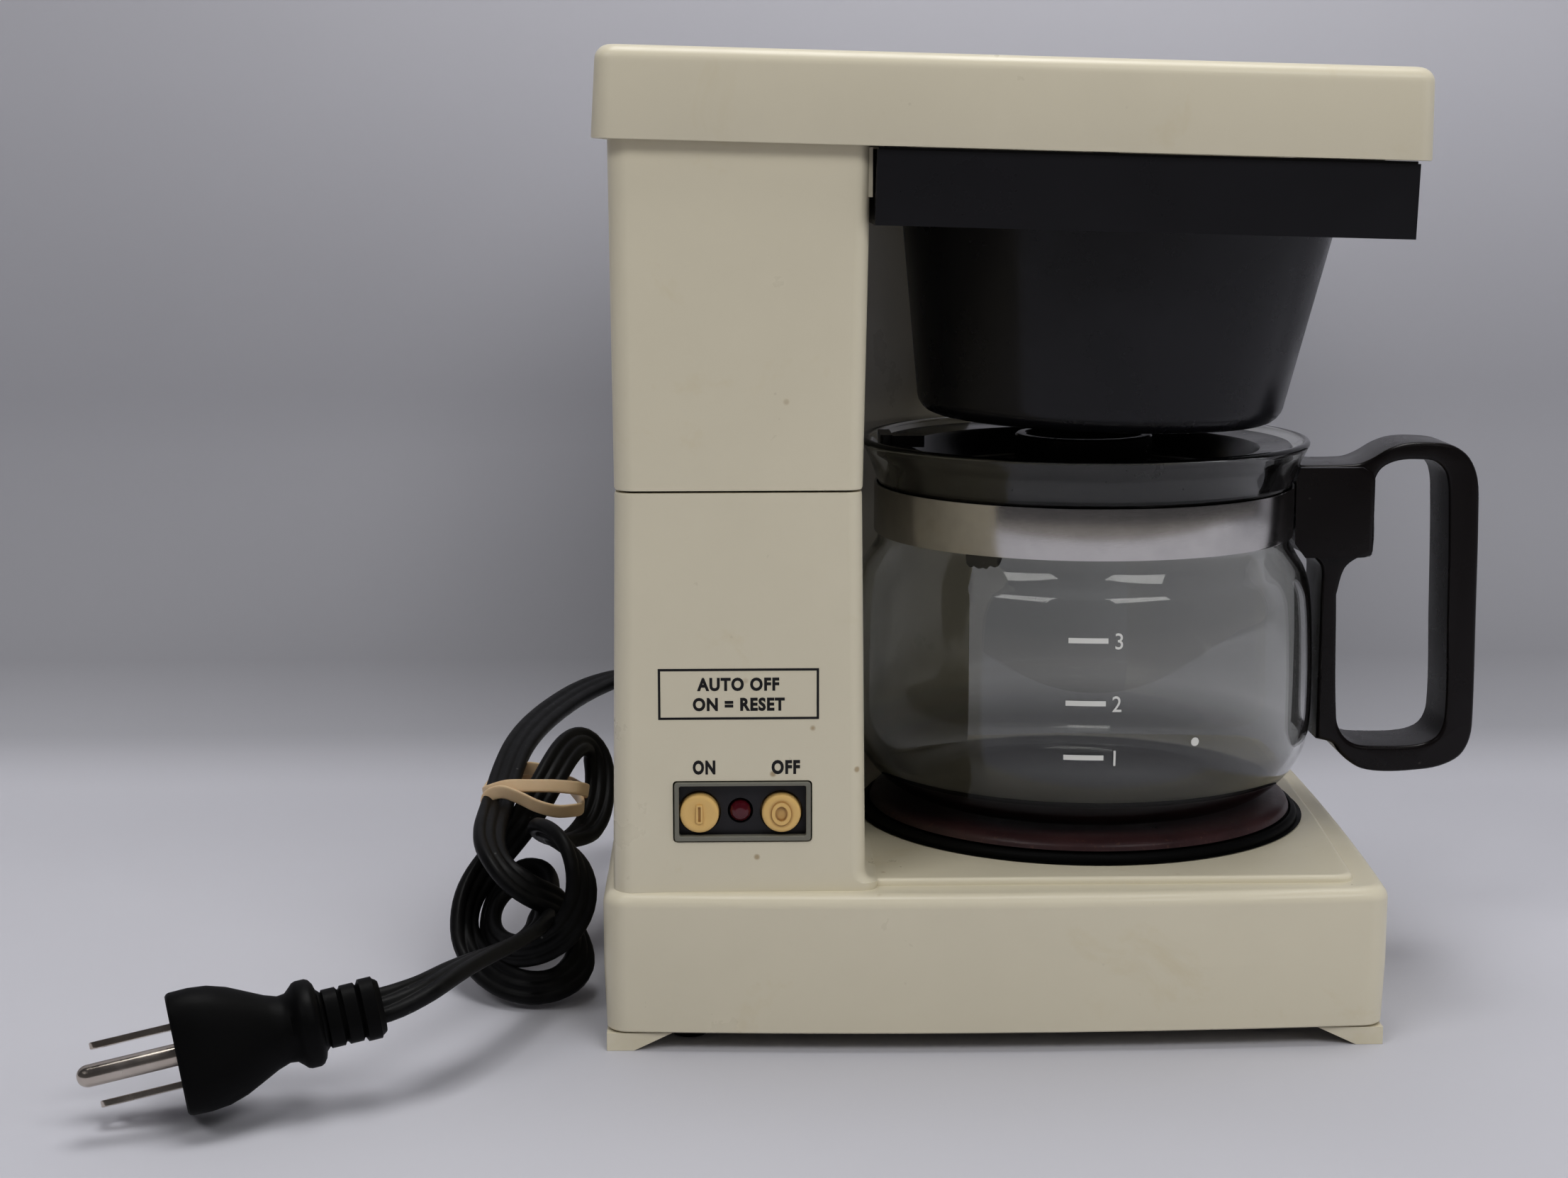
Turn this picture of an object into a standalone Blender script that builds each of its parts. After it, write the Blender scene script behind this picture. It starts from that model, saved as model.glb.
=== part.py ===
# Drip coffee maker: column with tank and switches on the left, head with a slide-out
# brew basket, warming plate in the base, glass carafe, flat power cord with a moulded plug.
# Design lengths are in millimetres, measured from the base's front left corner at table
# level (x right, y towards the rear, z up); everything is scaled to metres and moved so
# that the origin is under the centre of the machine.
import bpy
import bmesh
import math
import numpy as np
from mathutils import Matrix, Vector

for ob in list(bpy.data.objects):
    bpy.data.objects.remove(ob, do_unlink=True)

# ---------------------------------------------------------------- driving dimensions (mm)
OX, OY = 110.524, 76.225           # origin in design coordinates
BASE_L, BASE_R = 0.6, 184.8     # base at its front corners
BASE_D = 150.0                  # base depth
FRONT_BOW = 3.4                 # bulge of the base front
SIDE_BOW = 3.3                  # bulge of the base's right side
SKIRT_Z = 4.7
DECK_Z = 38.3
PLAT_Z = 40.0
SEAM_Z = 131.8
COL_F, COL_R = 1.5, 147.0       # column front and rear faces
WALL = 2.2
CAR_X, CAR_Y = 120.6, 72.0      # carafe and warming plate axis
BAY_R = 64.0                    # hollow of the column round the carafe
HEAD_TILT = math.radians(1.65)  # the head leans down to the right
HPX, HPZ = 32.0, 209.0          # pivot of that lean
BASK_X, BASK_Y = 124.2, 66.0    # basket middle
HINGE_Y, HINGE_Z = 153.4, 207.4
PLATE_R = 54.0
GLASS_R = 58.8
CORD_W, CORD_T = 8.5, 3.6

# ---------------------------------------------------------------- materials
MATS = {}


def mat(name, rgb, rough=0.5, metal=0.0, alpha=1.0):
    if name not in MATS:
        m = bpy.data.materials.new(name)
        m.use_nodes = True
        b = m.node_tree.nodes["Principled BSDF"]
        b.inputs["Base Color"].default_value = (*rgb, 1.0)
        b.inputs["Roughness"].default_value = rough
        b.inputs["Metallic"].default_value = metal
        b.inputs["Alpha"].default_value = alpha
        m.diffuse_color = (*rgb, 1.0)
        MATS[name] = m
    return MATS[name]


CREAM = ("cream_plastic", (0.80, 0.77, 0.63), 0.35)
BLACK = ("black_plastic", (0.012, 0.012, 0.015), 0.25)
BROWN = ("brown_plastic", (0.035, 0.028, 0.028), 0.3)
STEEL = ("brushed_steel", (0.6, 0.58, 0.56), 0.3, 1.0)
GLASS = ("clear_glass", (0.85, 0.88, 0.86), 0.03)
ALU = ("aluminium", (0.75, 0.75, 0.76), 0.4, 1.0)
MAROON = ("maroon_enamel", (0.035, 0.012, 0.014), 0.3)
RUBBER = ("black_rubber", (0.015, 0.015, 0.015), 0.7)
SILI = ("milky_silicone", (0.75, 0.74, 0.7), 0.45)
TAN = ("tan_button", (0.72, 0.48, 0.18), 0.4)
GREY = ("grey_bezel", (0.20, 0.20, 0.17), 0.45)
RED = ("red_lens", (0.09, 0.003, 0.008), 0.15)
GREEN = ("board", (0.05, 0.16, 0.06), 0.5)
NICKEL = ("nickel", (0.6, 0.55, 0.5), 0.25, 1.0)
BANDC = ("tan_rubber", (0.62, 0.44, 0.25), 0.6)
WHITE = ("white_plastic", (0.7, 0.7, 0.68), 0.5)


# ---------------------------------------------------------------- helpers
def T(p):
    """Design millimetres to world metres."""
    return Vector(((p[0] - OX) / 1000.0, (p[1] - OY) / 1000.0, p[2] / 1000.0))


def H(p):
    """A point in the head's own leaning frame, to design millimetres."""
    dx, dz = p[0] - HPX, p[2] - HPZ
    c, s = math.cos(HEAD_TILT), math.sin(HEAD_TILT)
    return (HPX + dx * c + dz * s, p[1], HPZ - dx * s + dz * c)


def same(p):
    return p


def new_obj(name, bm, m, tf=same):
    for v in bm.verts:
        v.co = T(tf(tuple(v.co)))
    bmesh.ops.recalc_face_normals(bm, faces=bm.faces[:])
    me = bpy.data.meshes.new(name)
    bm.to_mesh(me)
    bm.free()
    ob = bpy.data.objects.new(name, me)
    bpy.context.scene.collection.objects.link(ob)
    if m:
        me.materials.append(mat(*m))
    return ob


def loft(bm, loops, caps=True, ring=False):
    """Skin a stack of closed loops with equal counts; ring joins the last to the first."""
    rows = [[bm.verts.new(p) for p in lp] for lp in loops]
    n = len(rows[0])
    pairs = list(zip(rows[:-1], rows[1:]))
    if ring:
        pairs.append((rows[-1], rows[0]))
    for a, b in pairs:
        for i in range(n):
            j = (i + 1) % n
            bm.faces.new((a[i], a[j], b[j], b[i]))
    if caps and not ring:
        bm.faces.new(rows[0][::-1])
        bm.faces.new(rows[-1])
    return rows


def at_z(poly, z):
    return [(x, y, z) for x, y in poly]


def fillet(poly, rad, seg=3):
    """Round the corners of a 2-D polygon; rad is a list, 0 keeps the corner."""
    out = []
    n = len(poly)
    for i, (p, r) in enumerate(zip(poly, rad)):
        if r <= 0:
            out.append(p)
            continue
        a = Vector(poly[i - 1]) - Vector(p)
        b = Vector(poly[(i + 1) % n]) - Vector(p)
        ang = a.angle(b)
        d = r / math.tan(ang / 2)
        a.normalize()
        b.normalize()
        c = Vector(p) + (a + b).normalized() * (r / math.sin(ang / 2))
        s = Vector(p) + a * d - c
        e = Vector(p) + b * d - c
        t = s.angle_signed(e)
        for k in range(seg + 1):
            q = s.copy()
            w = -t * k / seg
            out.append((c.x + q.x * math.cos(w) - q.y * math.sin(w),
                        c.y + q.x * math.sin(w) + q.y * math.cos(w)))
    return out


def rect(x0, x1, y0, y1, r=0, seg=3):
    p = [(x0, y0), (x1, y0), (x1, y1), (x0, y1)]
    return fillet(p, [r] * 4, seg) if r else p


def circle(cx, cy, r, n=32, a0=0.0):
    return [(cx + r * math.cos(a0 + 2 * math.pi * i / n), cy + r * math.sin(a0 + 2 * math.pi * i / n))
            for i in range(n)]


def box(name, x0, x1, y0, y1, z0, z1, m, tf=same, r=0):
    bm = bmesh.new()
    loft(bm, [at_z(rect(x0, x1, y0, y1, r), z0), at_z(rect(x0, x1, y0, y1, r), z1)])
    return new_obj(name, bm, m, tf)


def prism(name, poly, z0, z1, m, tf=same):
    bm = bmesh.new()
    loft(bm, [at_z(poly, z0), at_z(poly, z1)])
    return new_obj(name, bm, m, tf)


def cyl(name, c, r, h, m, axis="z", n=20, r2=None, tf=same):
    """Cylinder or cone from the point c along +axis for h."""
    r2 = r if r2 is None else r2
    lo, hi = [], []
    for k in range(n):
        t = 2 * math.pi * k / n
        u, v = math.cos(t), math.sin(t)
        for lst, rr, s in ((lo, r, 0.0), (hi, r2, h)):
            if axis == "z":
                lst.append((c[0] + rr * u, c[1] + rr * v, c[2] + s))
            elif axis == "y":
                lst.append((c[0] + rr * u, c[1] + s, c[2] + rr * v))
            else:
                lst.append((c[0] + s, c[1] + rr * u, c[2] + rr * v))
    bm = bmesh.new()
    loft(bm, [lo, hi])
    return new_obj(name, bm, m, tf)


def turned(name, prof, cx, cy, m, n=40, tf=same, shift=None):
    """Revolve a profile of (radius, z). A closed profile (last = first) makes a ring or cup wall;
    an open one that starts and ends on radius 0 makes a solid. shift(z) moves the axis."""
    closed = prof[0] == prof[-1]
    pts = prof[:-1] if closed else prof
    bm = bmesh.new()
    rows = []
    for r, z in pts:
        dx, dy = shift(z) if shift else (0.0, 0.0)
        if r < 1e-9:
            rows.append([bm.verts.new((cx + dx, cy + dy, z))])
        else:
            rows.append([bm.verts.new((cx + dx + r * math.cos(2 * math.pi * i / n),
                                       cy + dy + r * math.sin(2 * math.pi * i / n), z)) for i in range(n)])
    pairs = list(zip(rows[:-1], rows[1:]))
    if closed:
        pairs.append((rows[-1], rows[0]))
    for a, b in pairs:
        for i in range(n):
            j = (i + 1) % n
            if len(a) == 1 and len(b) == 1:
                continue
            if len(a) == 1:
                bm.faces.new((a[0], b[j], b[i]))
            elif len(b) == 1:
                bm.faces.new((a[i], a[j], b[0]))
            else:
                bm.faces.new((a[i], a[j], b[j], b[i]))
    return new_obj(name, bm, m, tf)


def smooth_path(pts, n):
    """n points at even spacing on a centripetal Catmull-Rom curve through pts."""
    P = [np.array(p, float) for p in pts]
    P = [2 * P[0] - P[1]] + P + [2 * P[-1] - P[-2]]
    out = []
    for i in range(1, len(P) - 2):
        p0, p1, p2, p3 = P[i - 1:i + 3]
        t = [0.0]
        for a, b in ((p0, p1), (p1, p2), (p2, p3)):
            t.append(t[-1] + max(np.linalg.norm(b - a), 1e-6) ** 0.5)
        for s in np.linspace(t[1], t[2], 24, endpoint=False):
            A1 = (t[1] - s) / (t[1] - t[0]) * p0 + (s - t[0]) / (t[1] - t[0]) * p1
            A2 = (t[2] - s) / (t[2] - t[1]) * p1 + (s - t[1]) / (t[2] - t[1]) * p2
            A3 = (t[3] - s) / (t[3] - t[2]) * p2 + (s - t[2]) / (t[3] - t[2]) * p3
            B1 = (t[2] - s) / (t[2] - t[0]) * A1 + (s - t[0]) / (t[2] - t[0]) * A2
            B2 = (t[3] - s) / (t[3] - t[1]) * A2 + (s - t[1]) / (t[3] - t[1]) * A3
            out.append((t[2] - s) / (t[2] - t[1]) * B1 + (s - t[1]) / (t[2] - t[1]) * B2)
    out.append(P[-2])
    out = np.array(out)
    L = np.concatenate([[0], np.cumsum(np.linalg.norm(np.diff(out, axis=0), axis=1))])
    return [tuple(np.array([np.interp(s, L, out[:, k]) for k in range(3)])) for s in np.linspace(0, L[-1], n)]


def frames(path, up=(0, 0, 1)):
    P = [Vector(p) for p in path]
    n = len(P)
    tan = [(P[min(i + 1, n - 1)] - P[max(i - 1, 0)]).normalized() for i in range(n)]
    ref = Vector(up)
    if abs(ref.dot(tan[0])) > 0.95:
        ref = Vector((1, 0, 0))
    u = (ref - tan[0] * ref.dot(tan[0])).normalized()
    out = []
    for i in range(n):
        u = (u - tan[i] * u.dot(tan[i])).normalized()
        out.append((P[i], tan[i], u, tan[i].cross(u)))
    return out


def hose(name, path, ro, ri, m, sides=8):
    """Open tube along a path: outer skin, inner skin and two ring ends."""
    bm = bmesh.new()
    fr = frames(path)
    outer, inner = [], []
    for P, t, u, v in fr:
        for lst, r in ((outer, ro), (inner, ri)):
            lst.append([tuple(P + (u * math.cos(a) + v * math.sin(a)) * r)
                        for a in [2 * math.pi * k / sides for k in range(sides)]])
    loft(bm, outer + inner[::-1], ring=True)
    return new_obj(name, bm, m)


def rod(name, path, r, m, sides=8):
    bm = bmesh.new()
    fr = frames(path)
    loft(bm, [[tuple(P + (u * math.cos(a) + v * math.sin(a)) * r)
               for a in [2 * math.pi * k / sides for k in range(sides)]] for P, t, u, v in fr])
    return new_obj(name, bm, m)


def boole(ob, others, op):
    for o in others:
        md = ob.modifiers.new("b", "BOOLEAN")
        md.operation = op
        md.solver = "EXACT"
        md.object = o
        bpy.context.view_layer.update()
        dg = bpy.context.evaluated_depsgraph_get()
        me = bpy.data.meshes.new_from_object(ob.evaluated_get(dg))
        ob.modifiers.clear()
        old = ob.data
        ob.data = me
        bpy.data.meshes.remove(old)
        me.name = ob.name
        bpy.data.objects.remove(o, do_unlink=True)
    return ob


def union(ob, *others):
    return boole(ob, others, "UNION")


def cut(ob, *others):
    return boole(ob, others, "DIFFERENCE")


def finish_smooth(ob, angle=35):
    ob.data.shade_smooth()
    ob.data.set_sharp_from_angle(angle=math.radians(angle))


def set_origin(ob, world):
    d = Vector(world) - ob.location
    ob.data.transform(Matrix.Translation(-d))
    ob.location = Vector(world)


# ---------------------------------------------------------------- outlines
def base_outline(d=0.0):
    """Base plan, d mm inside the outer skin: bowed front, right side flaring a little."""
    cx = 0.5 * (BASE_L + BASE_R)
    hw = 0.5 * (BASE_R - BASE_L)
    front = [(BASE_L + d, d)]
    for k in range(1, 8):
        x = BASE_L + (BASE_R - BASE_L) * k / 8
        front.append((x, -FRONT_BOW * (1 - ((x - cx) / hw) ** 2) + d))
    front.append((BASE_R - d, d))
    side = []
    for y in (30, 60, 90, 120):
        side.append((BASE_R + SIDE_BOW * (1 - ((y - 110) / 110.0) ** 2) - d, y))
    rear_x = BASE_R + SIDE_BOW * (1 - (40 / 110.0) ** 2) - d
    poly = front + side + [(rear_x, BASE_D - d), (BASE_L + d, BASE_D - d)]
    rad = [max(6 - d, 1.5)] + [0] * 7 + [max(6 - d, 1.5)] + [0] * 4 + [max(8 - d, 1.5)] * 2
    return fillet(poly, rad, 3)


def col_outline(xl, xr, d=0.0, xe=97.0):
    """Column plan, d mm inside the outer skin, hollowed round the carafe bay at the rear right."""
    R = BAY_R + d
    xl, xr, xe = xl + d, xr - d, xe - d
    a0 = math.acos((xr - CAR_X) / R)
    a1 = math.acos((xe - CAR_X) / R)
    arc = []
    for k in range(10):
        t = k / 9.0
        a = -a0 - t * (2 * math.pi - a0 - a1)
        arc.append((CAR_X + R * math.cos(a), CAR_Y + R * math.sin(a)))
    poly = [(xl, COL_F + d), (xr, COL_F + d)] + arc + [(xe, COL_R - d), (xl, COL_R - d)]
    rad = [max(4.5 - d, 1.5), max(3.5 - d, 1.2)] + [0] * 10 + [3.0, max(7 - d, 1.5)]
    return fillet(poly, rad, 3)


def col_loop(xl, xr, d, z, lean=None):
    out = []
    for x, y in col_outline(xl, xr, d):
        zz = z if lean is None else HPZ + (lean - HPZ) - (x - HPX) * math.tan(HEAD_TILT)
        out.append((x, y, zz))
    return out


# ---------------------------------------------------------------- lower housing
def lower_housing():
    bm = bmesh.new()
    loft(bm, [at_z(base_outline(d), z) for d, z in
              ((0.6, SKIRT_Z), (0.0, 20.0), (0.0, 35.3), (0.6, 36.9), (1.6, 37.9), (3.2, DECK_Z))])
    ob = new_obj("lower_housing", bm, CREAM)
    bm = bmesh.new()
    plat = [(40, 5.2), (177.3, 5.2), (180.6, 60), (182.2, 110), (182.0, 144), (40, 144)]
    pl = fillet(plat, [1.5, 4, 0, 0, 5, 1.5], 3)
    cx, cy = 110, 74
    pi = [(x + (cx - x) / abs(x - cx) * 0.7, y + (cy - y) / max(abs(y - cy), 1) * 0.7) for x, y in pl]
    loft(bm, [at_z(pl, 37.0), at_z(pl, 39.4), at_z(pi, PLAT_Z)])
    platform = new_obj("t1", bm, CREAM)
    bm = bmesh.new()
    rows = ((3.1, 64.3, 36.5), (3.1, 64.2, 40.1), (3.1, 63.0, 41.0), (3.1, 62.2, 42.6), (3.1, 61.9, 45.5),
            (4.4, 60.9, SEAM_Z))
    loft(bm, [col_loop(a, b, 0, z) for a, b, z in rows])
    col = new_obj("t2", bm, CREAM)
    union(ob, platform, col)
    bm = bmesh.new()
    loft(bm, [at_z(base_outline(2.6), 2.0), at_z(base_outline(2.6), 34.6), at_z(base_outline(4.2), 35.9)])
    c1 = new_obj("c1", bm, None)
    bm = bmesh.new()
    loft(bm, [col_loop(3.1, 61.9, WALL, 38.6), col_loop(3.1, 61.9, WALL, 44.0), col_loop(4.4, 60.9, WALL, 135.0)])
    c2 = new_obj("c2", bm, None)
    hole = cyl("c3", (CAR_X, CAR_Y, 30), 50.0, 20, None, n=32)
    win = box("c4", 17.2, 49.4, -3, 8, 50.2, 64.8, None)
    gland = cyl("c5", (22, 140, 55), 5.4, 14, None, axis="y", n=16)
    way = box("c6", 11.0, 48.0, 30.0, 120.0, 30, 44, None, r=4)
    way2 = cyl("c7", (70.2, 136.9, 30), 6.2, 14, None, n=16)
    cut(ob, c1, c2, hole, win, gland, way, way2)
    for x, y in SCREWS:
        union(ob, cyl("b", (x, y, 6.8), 3.6, 30.2, None, n=12))
    for x, y in SCREWS:
        cut(ob, cyl("b", (x, y, 5.0), 1.5, 15.0, None, n=10))
    finish_smooth(ob)
    return ob


SCREWS = [(30, 20), (160, 11.5), (160, 134), (26, 132)]
lower_housing()

# ---------------------------------------------------------------- upper column
bm = bmesh.new()
LEAN = 213.3
loft(bm, [col_loop(4.4, 61.0, 0, SEAM_Z + 0.5), col_loop(3.75, 62.7, 0, 0, LEAN),
          col_loop(3.75, 62.7, WALL, 0, LEAN), col_loop(4.4, 61.0, WALL, SEAM_Z + 0.5)], ring=True)
uc = new_obj("upper_column", bm, CREAM)
HX = (40.0, 145.0)              # middles of the two cover hinges


def fixed_lugs(xc):
    out = []
    for x0 in (xc - 9.0, xc + 5.4):
        out.append(box("l", x0, x0 + 3.6, 146.2, HINGE_Y, 201.5, HINGE_Z + 2.0, None, tf=H))
        out.append(cyl("l", (x0 + 0.1, HINGE_Y, HINGE_Z), 2.45, 3.4, None, axis="x", n=14, tf=H))
    return out


def cover_lug(xc):
    return [box("l", xc - 5, xc + 5, 149.6, HINGE_Y + 2.2, HINGE_Z, 216.5, None, tf=H),
            cyl("l", (xc - 4.9, HINGE_Y, HINGE_Z), 2.45, 9.8, None, axis="x", n=14, tf=H)]


union(uc, *fixed_lugs(HX[0]))
cut(uc, cyl("c", (HX[0] - 12, HINGE_Y, HINGE_Z), 1.5, 24, None, axis="x", n=12, tf=H))
union(uc, box("tab", 61.2, 63.0, 2.2, 40.0, 198.0, 209.0, None))
finish_smooth(uc)

# ---------------------------------------------------------------- head frame with basket rails
hf = box("head_frame", 4.4, 184.0, 2.4, 146.4, 213.9, 215.9, CREAM, tf=H, r=3)
parts = [box("r", 98.2, 183.2, 144.6, 146.8, 199.5, 214.6, None, tf=H),
         box("r", 181.9, 183.7, 3.5, 145.5, 210.6, 214.9, None, tf=H)]
for sgn in (-1, 1):
    xw = sorted((BASK_X + sgn * 51.6, BASK_X + sgn * 53.6))
    xf = sorted((BASK_X + sgn * 53.0, BASK_X + sgn * 57.6))
    parts.append(box("r", xw[0], xw[1], 4.0, 88.0, 203.5, 214.3, None, tf=H))
    parts.append(box("r", xf[0], xf[1], 4.3, 87.7, 203.3, 206.0, None, tf=H))
parts += fixed_lugs(HX[1])
union(hf, *parts)
cut(hf, box("c", 9.5, 50.5, 12, 118, 210, 220, None, tf=H, r=4),
    cyl("c", (70.3, 137.6, 208), 6.4, 12, None, n=16, tf=H),
    cyl("c", (BASK_X, BASK_Y, 208), 3.8, 12, None, n=16, tf=H),
    cyl("c", (HX[1] - 12, HINGE_Y, HINGE_Z), 1.5, 24, None, axis="x", n=12, tf=H))
finish_smooth(hf)

# ---------------------------------------------------------------- top cover, hinged at the rear
bm = bmesh.new()


def cov(d, z):
    return at_z(rect(0.3 + d, 187.9 - d, -1.6 + d, 150.6 - d, max(4.0 - 0.6 * d, 1.5), 4), z)


loft(bm, [cov(2.7, 228.7), cov(2.1, 210.2), cov(0.0, 210.2), cov(0.55, 228.2), cov(0.95, 229.7),
          cov(1.8, 230.6), cov(3.4, 230.9)])
tc = new_obj("top_cover", bm, CREAM, tf=H)
lugs = cover_lug(HX[0]) + cover_lug(HX[1])
union(tc, *lugs)
for xc in HX:
    cut(tc, cyl("c", (xc - 7, HINGE_Y, HINGE_Z), 1.5, 14, None, axis="x", n=12, tf=H))
finish_smooth(tc)
set_origin(tc, T(H((93.7, HINGE_Y, HINGE_Z))))
for nm, xc in (("cover_hinge_pin_left", HX[0]), ("cover_hinge_pin_right", HX[1])):
    finish_smooth(cyl(nm, (xc - 9.4, HINGE_Y, HINGE_Z), 1.1, 18.8, STEEL, axis="x", n=12, tf=H))

# ---------------------------------------------------------------- brew basket


def tray_plan(d):
    x0, x1 = 63.8 + d, 184.9 - d
    xm, R = 0.5 * (x0 + x1), 0.5 * (x1 - x0)
    pts = [(x0, 0.0 + d), (x1, 0.0 + d)]
    for k in range(13):
        a = math.pi * k / 12
        pts.append((xm + R * math.cos(a), BASK_Y + R * math.sin(a)))
    return pts


CUP_X = 125.0


def cup_shift(z):
    return ((z - 145.0) / 48.0 * 2.45, 0.0)


bb = prism("brew_basket", tray_plan(0), 192.8, 209.5, BLACK, tf=H)
cut(bb, prism("c", tray_plan(1.8), 194.8, 215.0, None, tf=H),
    box("c", 55.0, 195.0, 66.0, 140.0, 199.0, 216.0, None, tf=H),
    cyl("c", (CUP_X + 2.45, BASK_Y, 188.0), 50.9, 14, None, n=32, tf=H))
cup = turned("c", [(53.3, 194.0), (49.6, 172.0), (45.8, 150.5), (44.9, 147.3), (42.8, 145.6), (40.3, 145.0), (4.0, 145.0),
                   (4.0, 147.0), (40.0, 147.0), (42.4, 148.2), (43.7, 151.0), (47.6, 172.0), (51.4, 194.0),
                   (53.3, 194.0)], CUP_X, BASK_Y, None, n=32, tf=H, shift=cup_shift)
union(bb, cup)
union(bb, box("w", 64.7, 70.0, 3.5, 65.2, 206.8, 208.8, None, tf=H),
      box("w", 178.4, 184.0, 3.5, 65.2, 206.8, 208.8, None, tf=H))
finish_smooth(bb)

# ---------------------------------------------------------------- spray head and water path
sh = turned("spray_head", [(0, 202.6), (12.6, 202.6), (14, 203.6), (14, 205.0), (12, 206.0), (3.2, 206.4),
                           (3.2, 217.2), (0, 217.2)], BASK_X, BASK_Y, WHITE, n=24, tf=H)
finish_smooth(sh)
tip = H((BASK_X, BASK_Y, 217.2))
tank = box("reservoir_tank", 7.5, 50.5, 6.0, 121.0, 140.0, 205.0, WHITE, r=6)
cut(tank, box("c", 9.1, 48.9, 7.6, 119.4, 141.8, 210.0, None, r=4.4))
union(tank, cyl("s", (28, 105, 133.4), 4.0, 8.0, None, n=16))
cut(tank, cyl("s", (28, 105, 130), 2.5, 20, None, n=12))
finish_smooth(tank)
cv = cyl("check_valve", (28, 105, 116.0), 6.0, 17.0, WHITE, n=16)
finish_smooth(cv)
cold = smooth_path([(28, 105, 115.6), (28, 105, 90), (28, 105, 50), (29, 104, 27), (35, 98.5, 15.5), (50, 84, 12.2),
                    (68, 67, 12.2), (79.5, 61.0, 13.8), (83.6, 60, 17.2), (84, 60, 19.6)], 18) + [(84, 60, 21.5), (84, 60, 23.5)]
finish_smooth(hose("cold_water_hose", cold, 3.8, 2.6, SILI, 7), 60)
arc = [(CAR_X + 33 * math.cos(a), CAR_Y + 33 * math.sin(a), 39.2)
       for a in [math.radians(-135 + 270 * k / 14) for k in range(15)]]
wt = ([(84, 60, 24.0), (84, 60, 27.5), (84.8, 59.2, 32.0), (89.0, 56.0, 37.2)] + arc +
      [(89.0, 88.0, 37.2), (84.8, 84.8, 32.0), (84, 84, 27.5), (84, 84, 24.0)])
wtp = [(84, 60, 24.0), (84, 60, 26.0)] + smooth_path(wt[1:-1], 26) + [(84, 84, 26.0), (84, 84, 24.0)]
finish_smooth(rod("heater_water_tube", wtp, 4.5, ALU, 8))
ra = [(CAR_X + 23 * math.cos(a), CAR_Y + 23 * math.sin(a), 40.5)
      for a in [math.radians(-140 + 280 * k / 14) for k in range(15)]]
hr = [(98, 59.5, 32.0), (100.5, 58.8, 38.0)] + ra + [(100.5, 85.2, 38.0), (98, 84.5, 32.0)]
finish_smooth(rod("heater_rod", smooth_path(hr, 22), 3.1, STEEL, 7))
hot = ([(84, 84, 23.5), (84, 84, 21.5)] +
       smooth_path([(84, 84, 20.0), (83.8, 85.5, 16.5), (82.5, 90, 13), (78, 104, 12.0), (73, 122, 13.5),
                    (70.4, 134, 22), (70.0, 138, 38), (70.0, 138, 80), (70.0, 138, 150), (70.0, 138, 211),
                    (71.2, 136.2, 218.5), (78, 127, 221.8), (97, 101, 221.9), (116, 77, 221.6),
                    (122.0, 69.1, 220.8), (tip[0], BASK_Y, 218.2)], 28) +
       [(tip[0], BASK_Y, 216.6), (tip[0], BASK_Y, tip[2] + 0.5)])
finish_smooth(hose("hot_water_riser", hot, 3.4, 2.3, SILI, 7), 60)
th = cyl("thermostat", (CAR_X, CAR_Y, 35.6), 8.0, 8.1, ALU, n=20)
finish_smooth(th)
finish_smooth(cyl("thermal_fuse", (114.0, 58.5, 41.0), 2.1, 13.0, ALU, axis="x", n=12))
st = box("heater_strap", 68.0, 173.2, 68.0, 76.0, 31.0, 32.6, STEEL)
union(st, box("s", 64.5, 70.0, 68.0, 76.0, 31.8, 35.3, None), box("s", 171.2, 176.7, 68.0, 76.0, 31.8, 35.3, None))

# ---------------------------------------------------------------- warming plate and gasket
wp = turned("warming_plate", [(0, 45.6), (49.0, 45.6), (51.6, 45.2), (53.3, 44.3), (PLATE_R, 42.7), (52.6, 42.7),
                              (51.6, 43.7), (49.0, 44.1), (0, 44.1)], CAR_X, CAR_Y, MAROON, n=32)
finish_smooth(wp)
pg = turned("plate_gasket", [(57.4, 40.3), (57.4, 41.4), (56.6, 42.3), (51.2, 42.3), (51.2, 40.3), (57.4, 40.3)],
            CAR_X, CAR_Y, RUBBER, n=32)
finish_smooth(pg)

# ---------------------------------------------------------------- base plate, feet and screws
bm = bmesh.new()
loft(bm, [at_z(base_outline(3.0), 4.0), at_z(base_outline(3.0), 6.3)])
bp = new_obj("base_plate", bm, CREAM)
wedges = []
for xa, sx in ((1.2, 1), (184.2, -1)):
    for ya, sy in ((0.8, 1), (149.2, -1)):
        bm = bmesh.new()
        a, b, c = xa, xa + sx * 6.4, xa + sx * 15.5
        y0, y1 = sorted((ya, ya + sy * 8.5))
        loft(bm, [[(a, y, 0.0), (b, y, 0.0), (c, y, 4.3), (a, y, 4.3)] for y in (y0, y1)])
        wedges.append(new_obj("w", bm, None))
union(bp, *wedges)
FEET = [(20.5, 14), (161, 24), (161, 122), (24, 120)]
for x, y in SCREWS:
    cut(bp, cyl("c", (x, y, 0), 1.7, 10, None, n=12))
for i, (x, y) in enumerate(FEET):
    finish_smooth(cyl(("rubber_foot_front_left", "rubber_foot_front_right", "rubber_foot_rear_right",
                       "rubber_foot_rear_left")[i], (x, y, 0.0), 4.6, 3.7, RUBBER, n=20, r2=5.0))
for i, (x, y) in enumerate(SCREWS):
    sc = cyl(("base_screw_front_left", "base_screw_front_right", "base_screw_rear_right",
              "base_screw_rear_left")[i], (x, y, 2.0), 2.9, 1.7, STEEL, n=14)
    union(sc, cyl("s", (x, y, 3.2), 1.2, 14.5, None, n=10))
    finish_smooth(sc)

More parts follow.
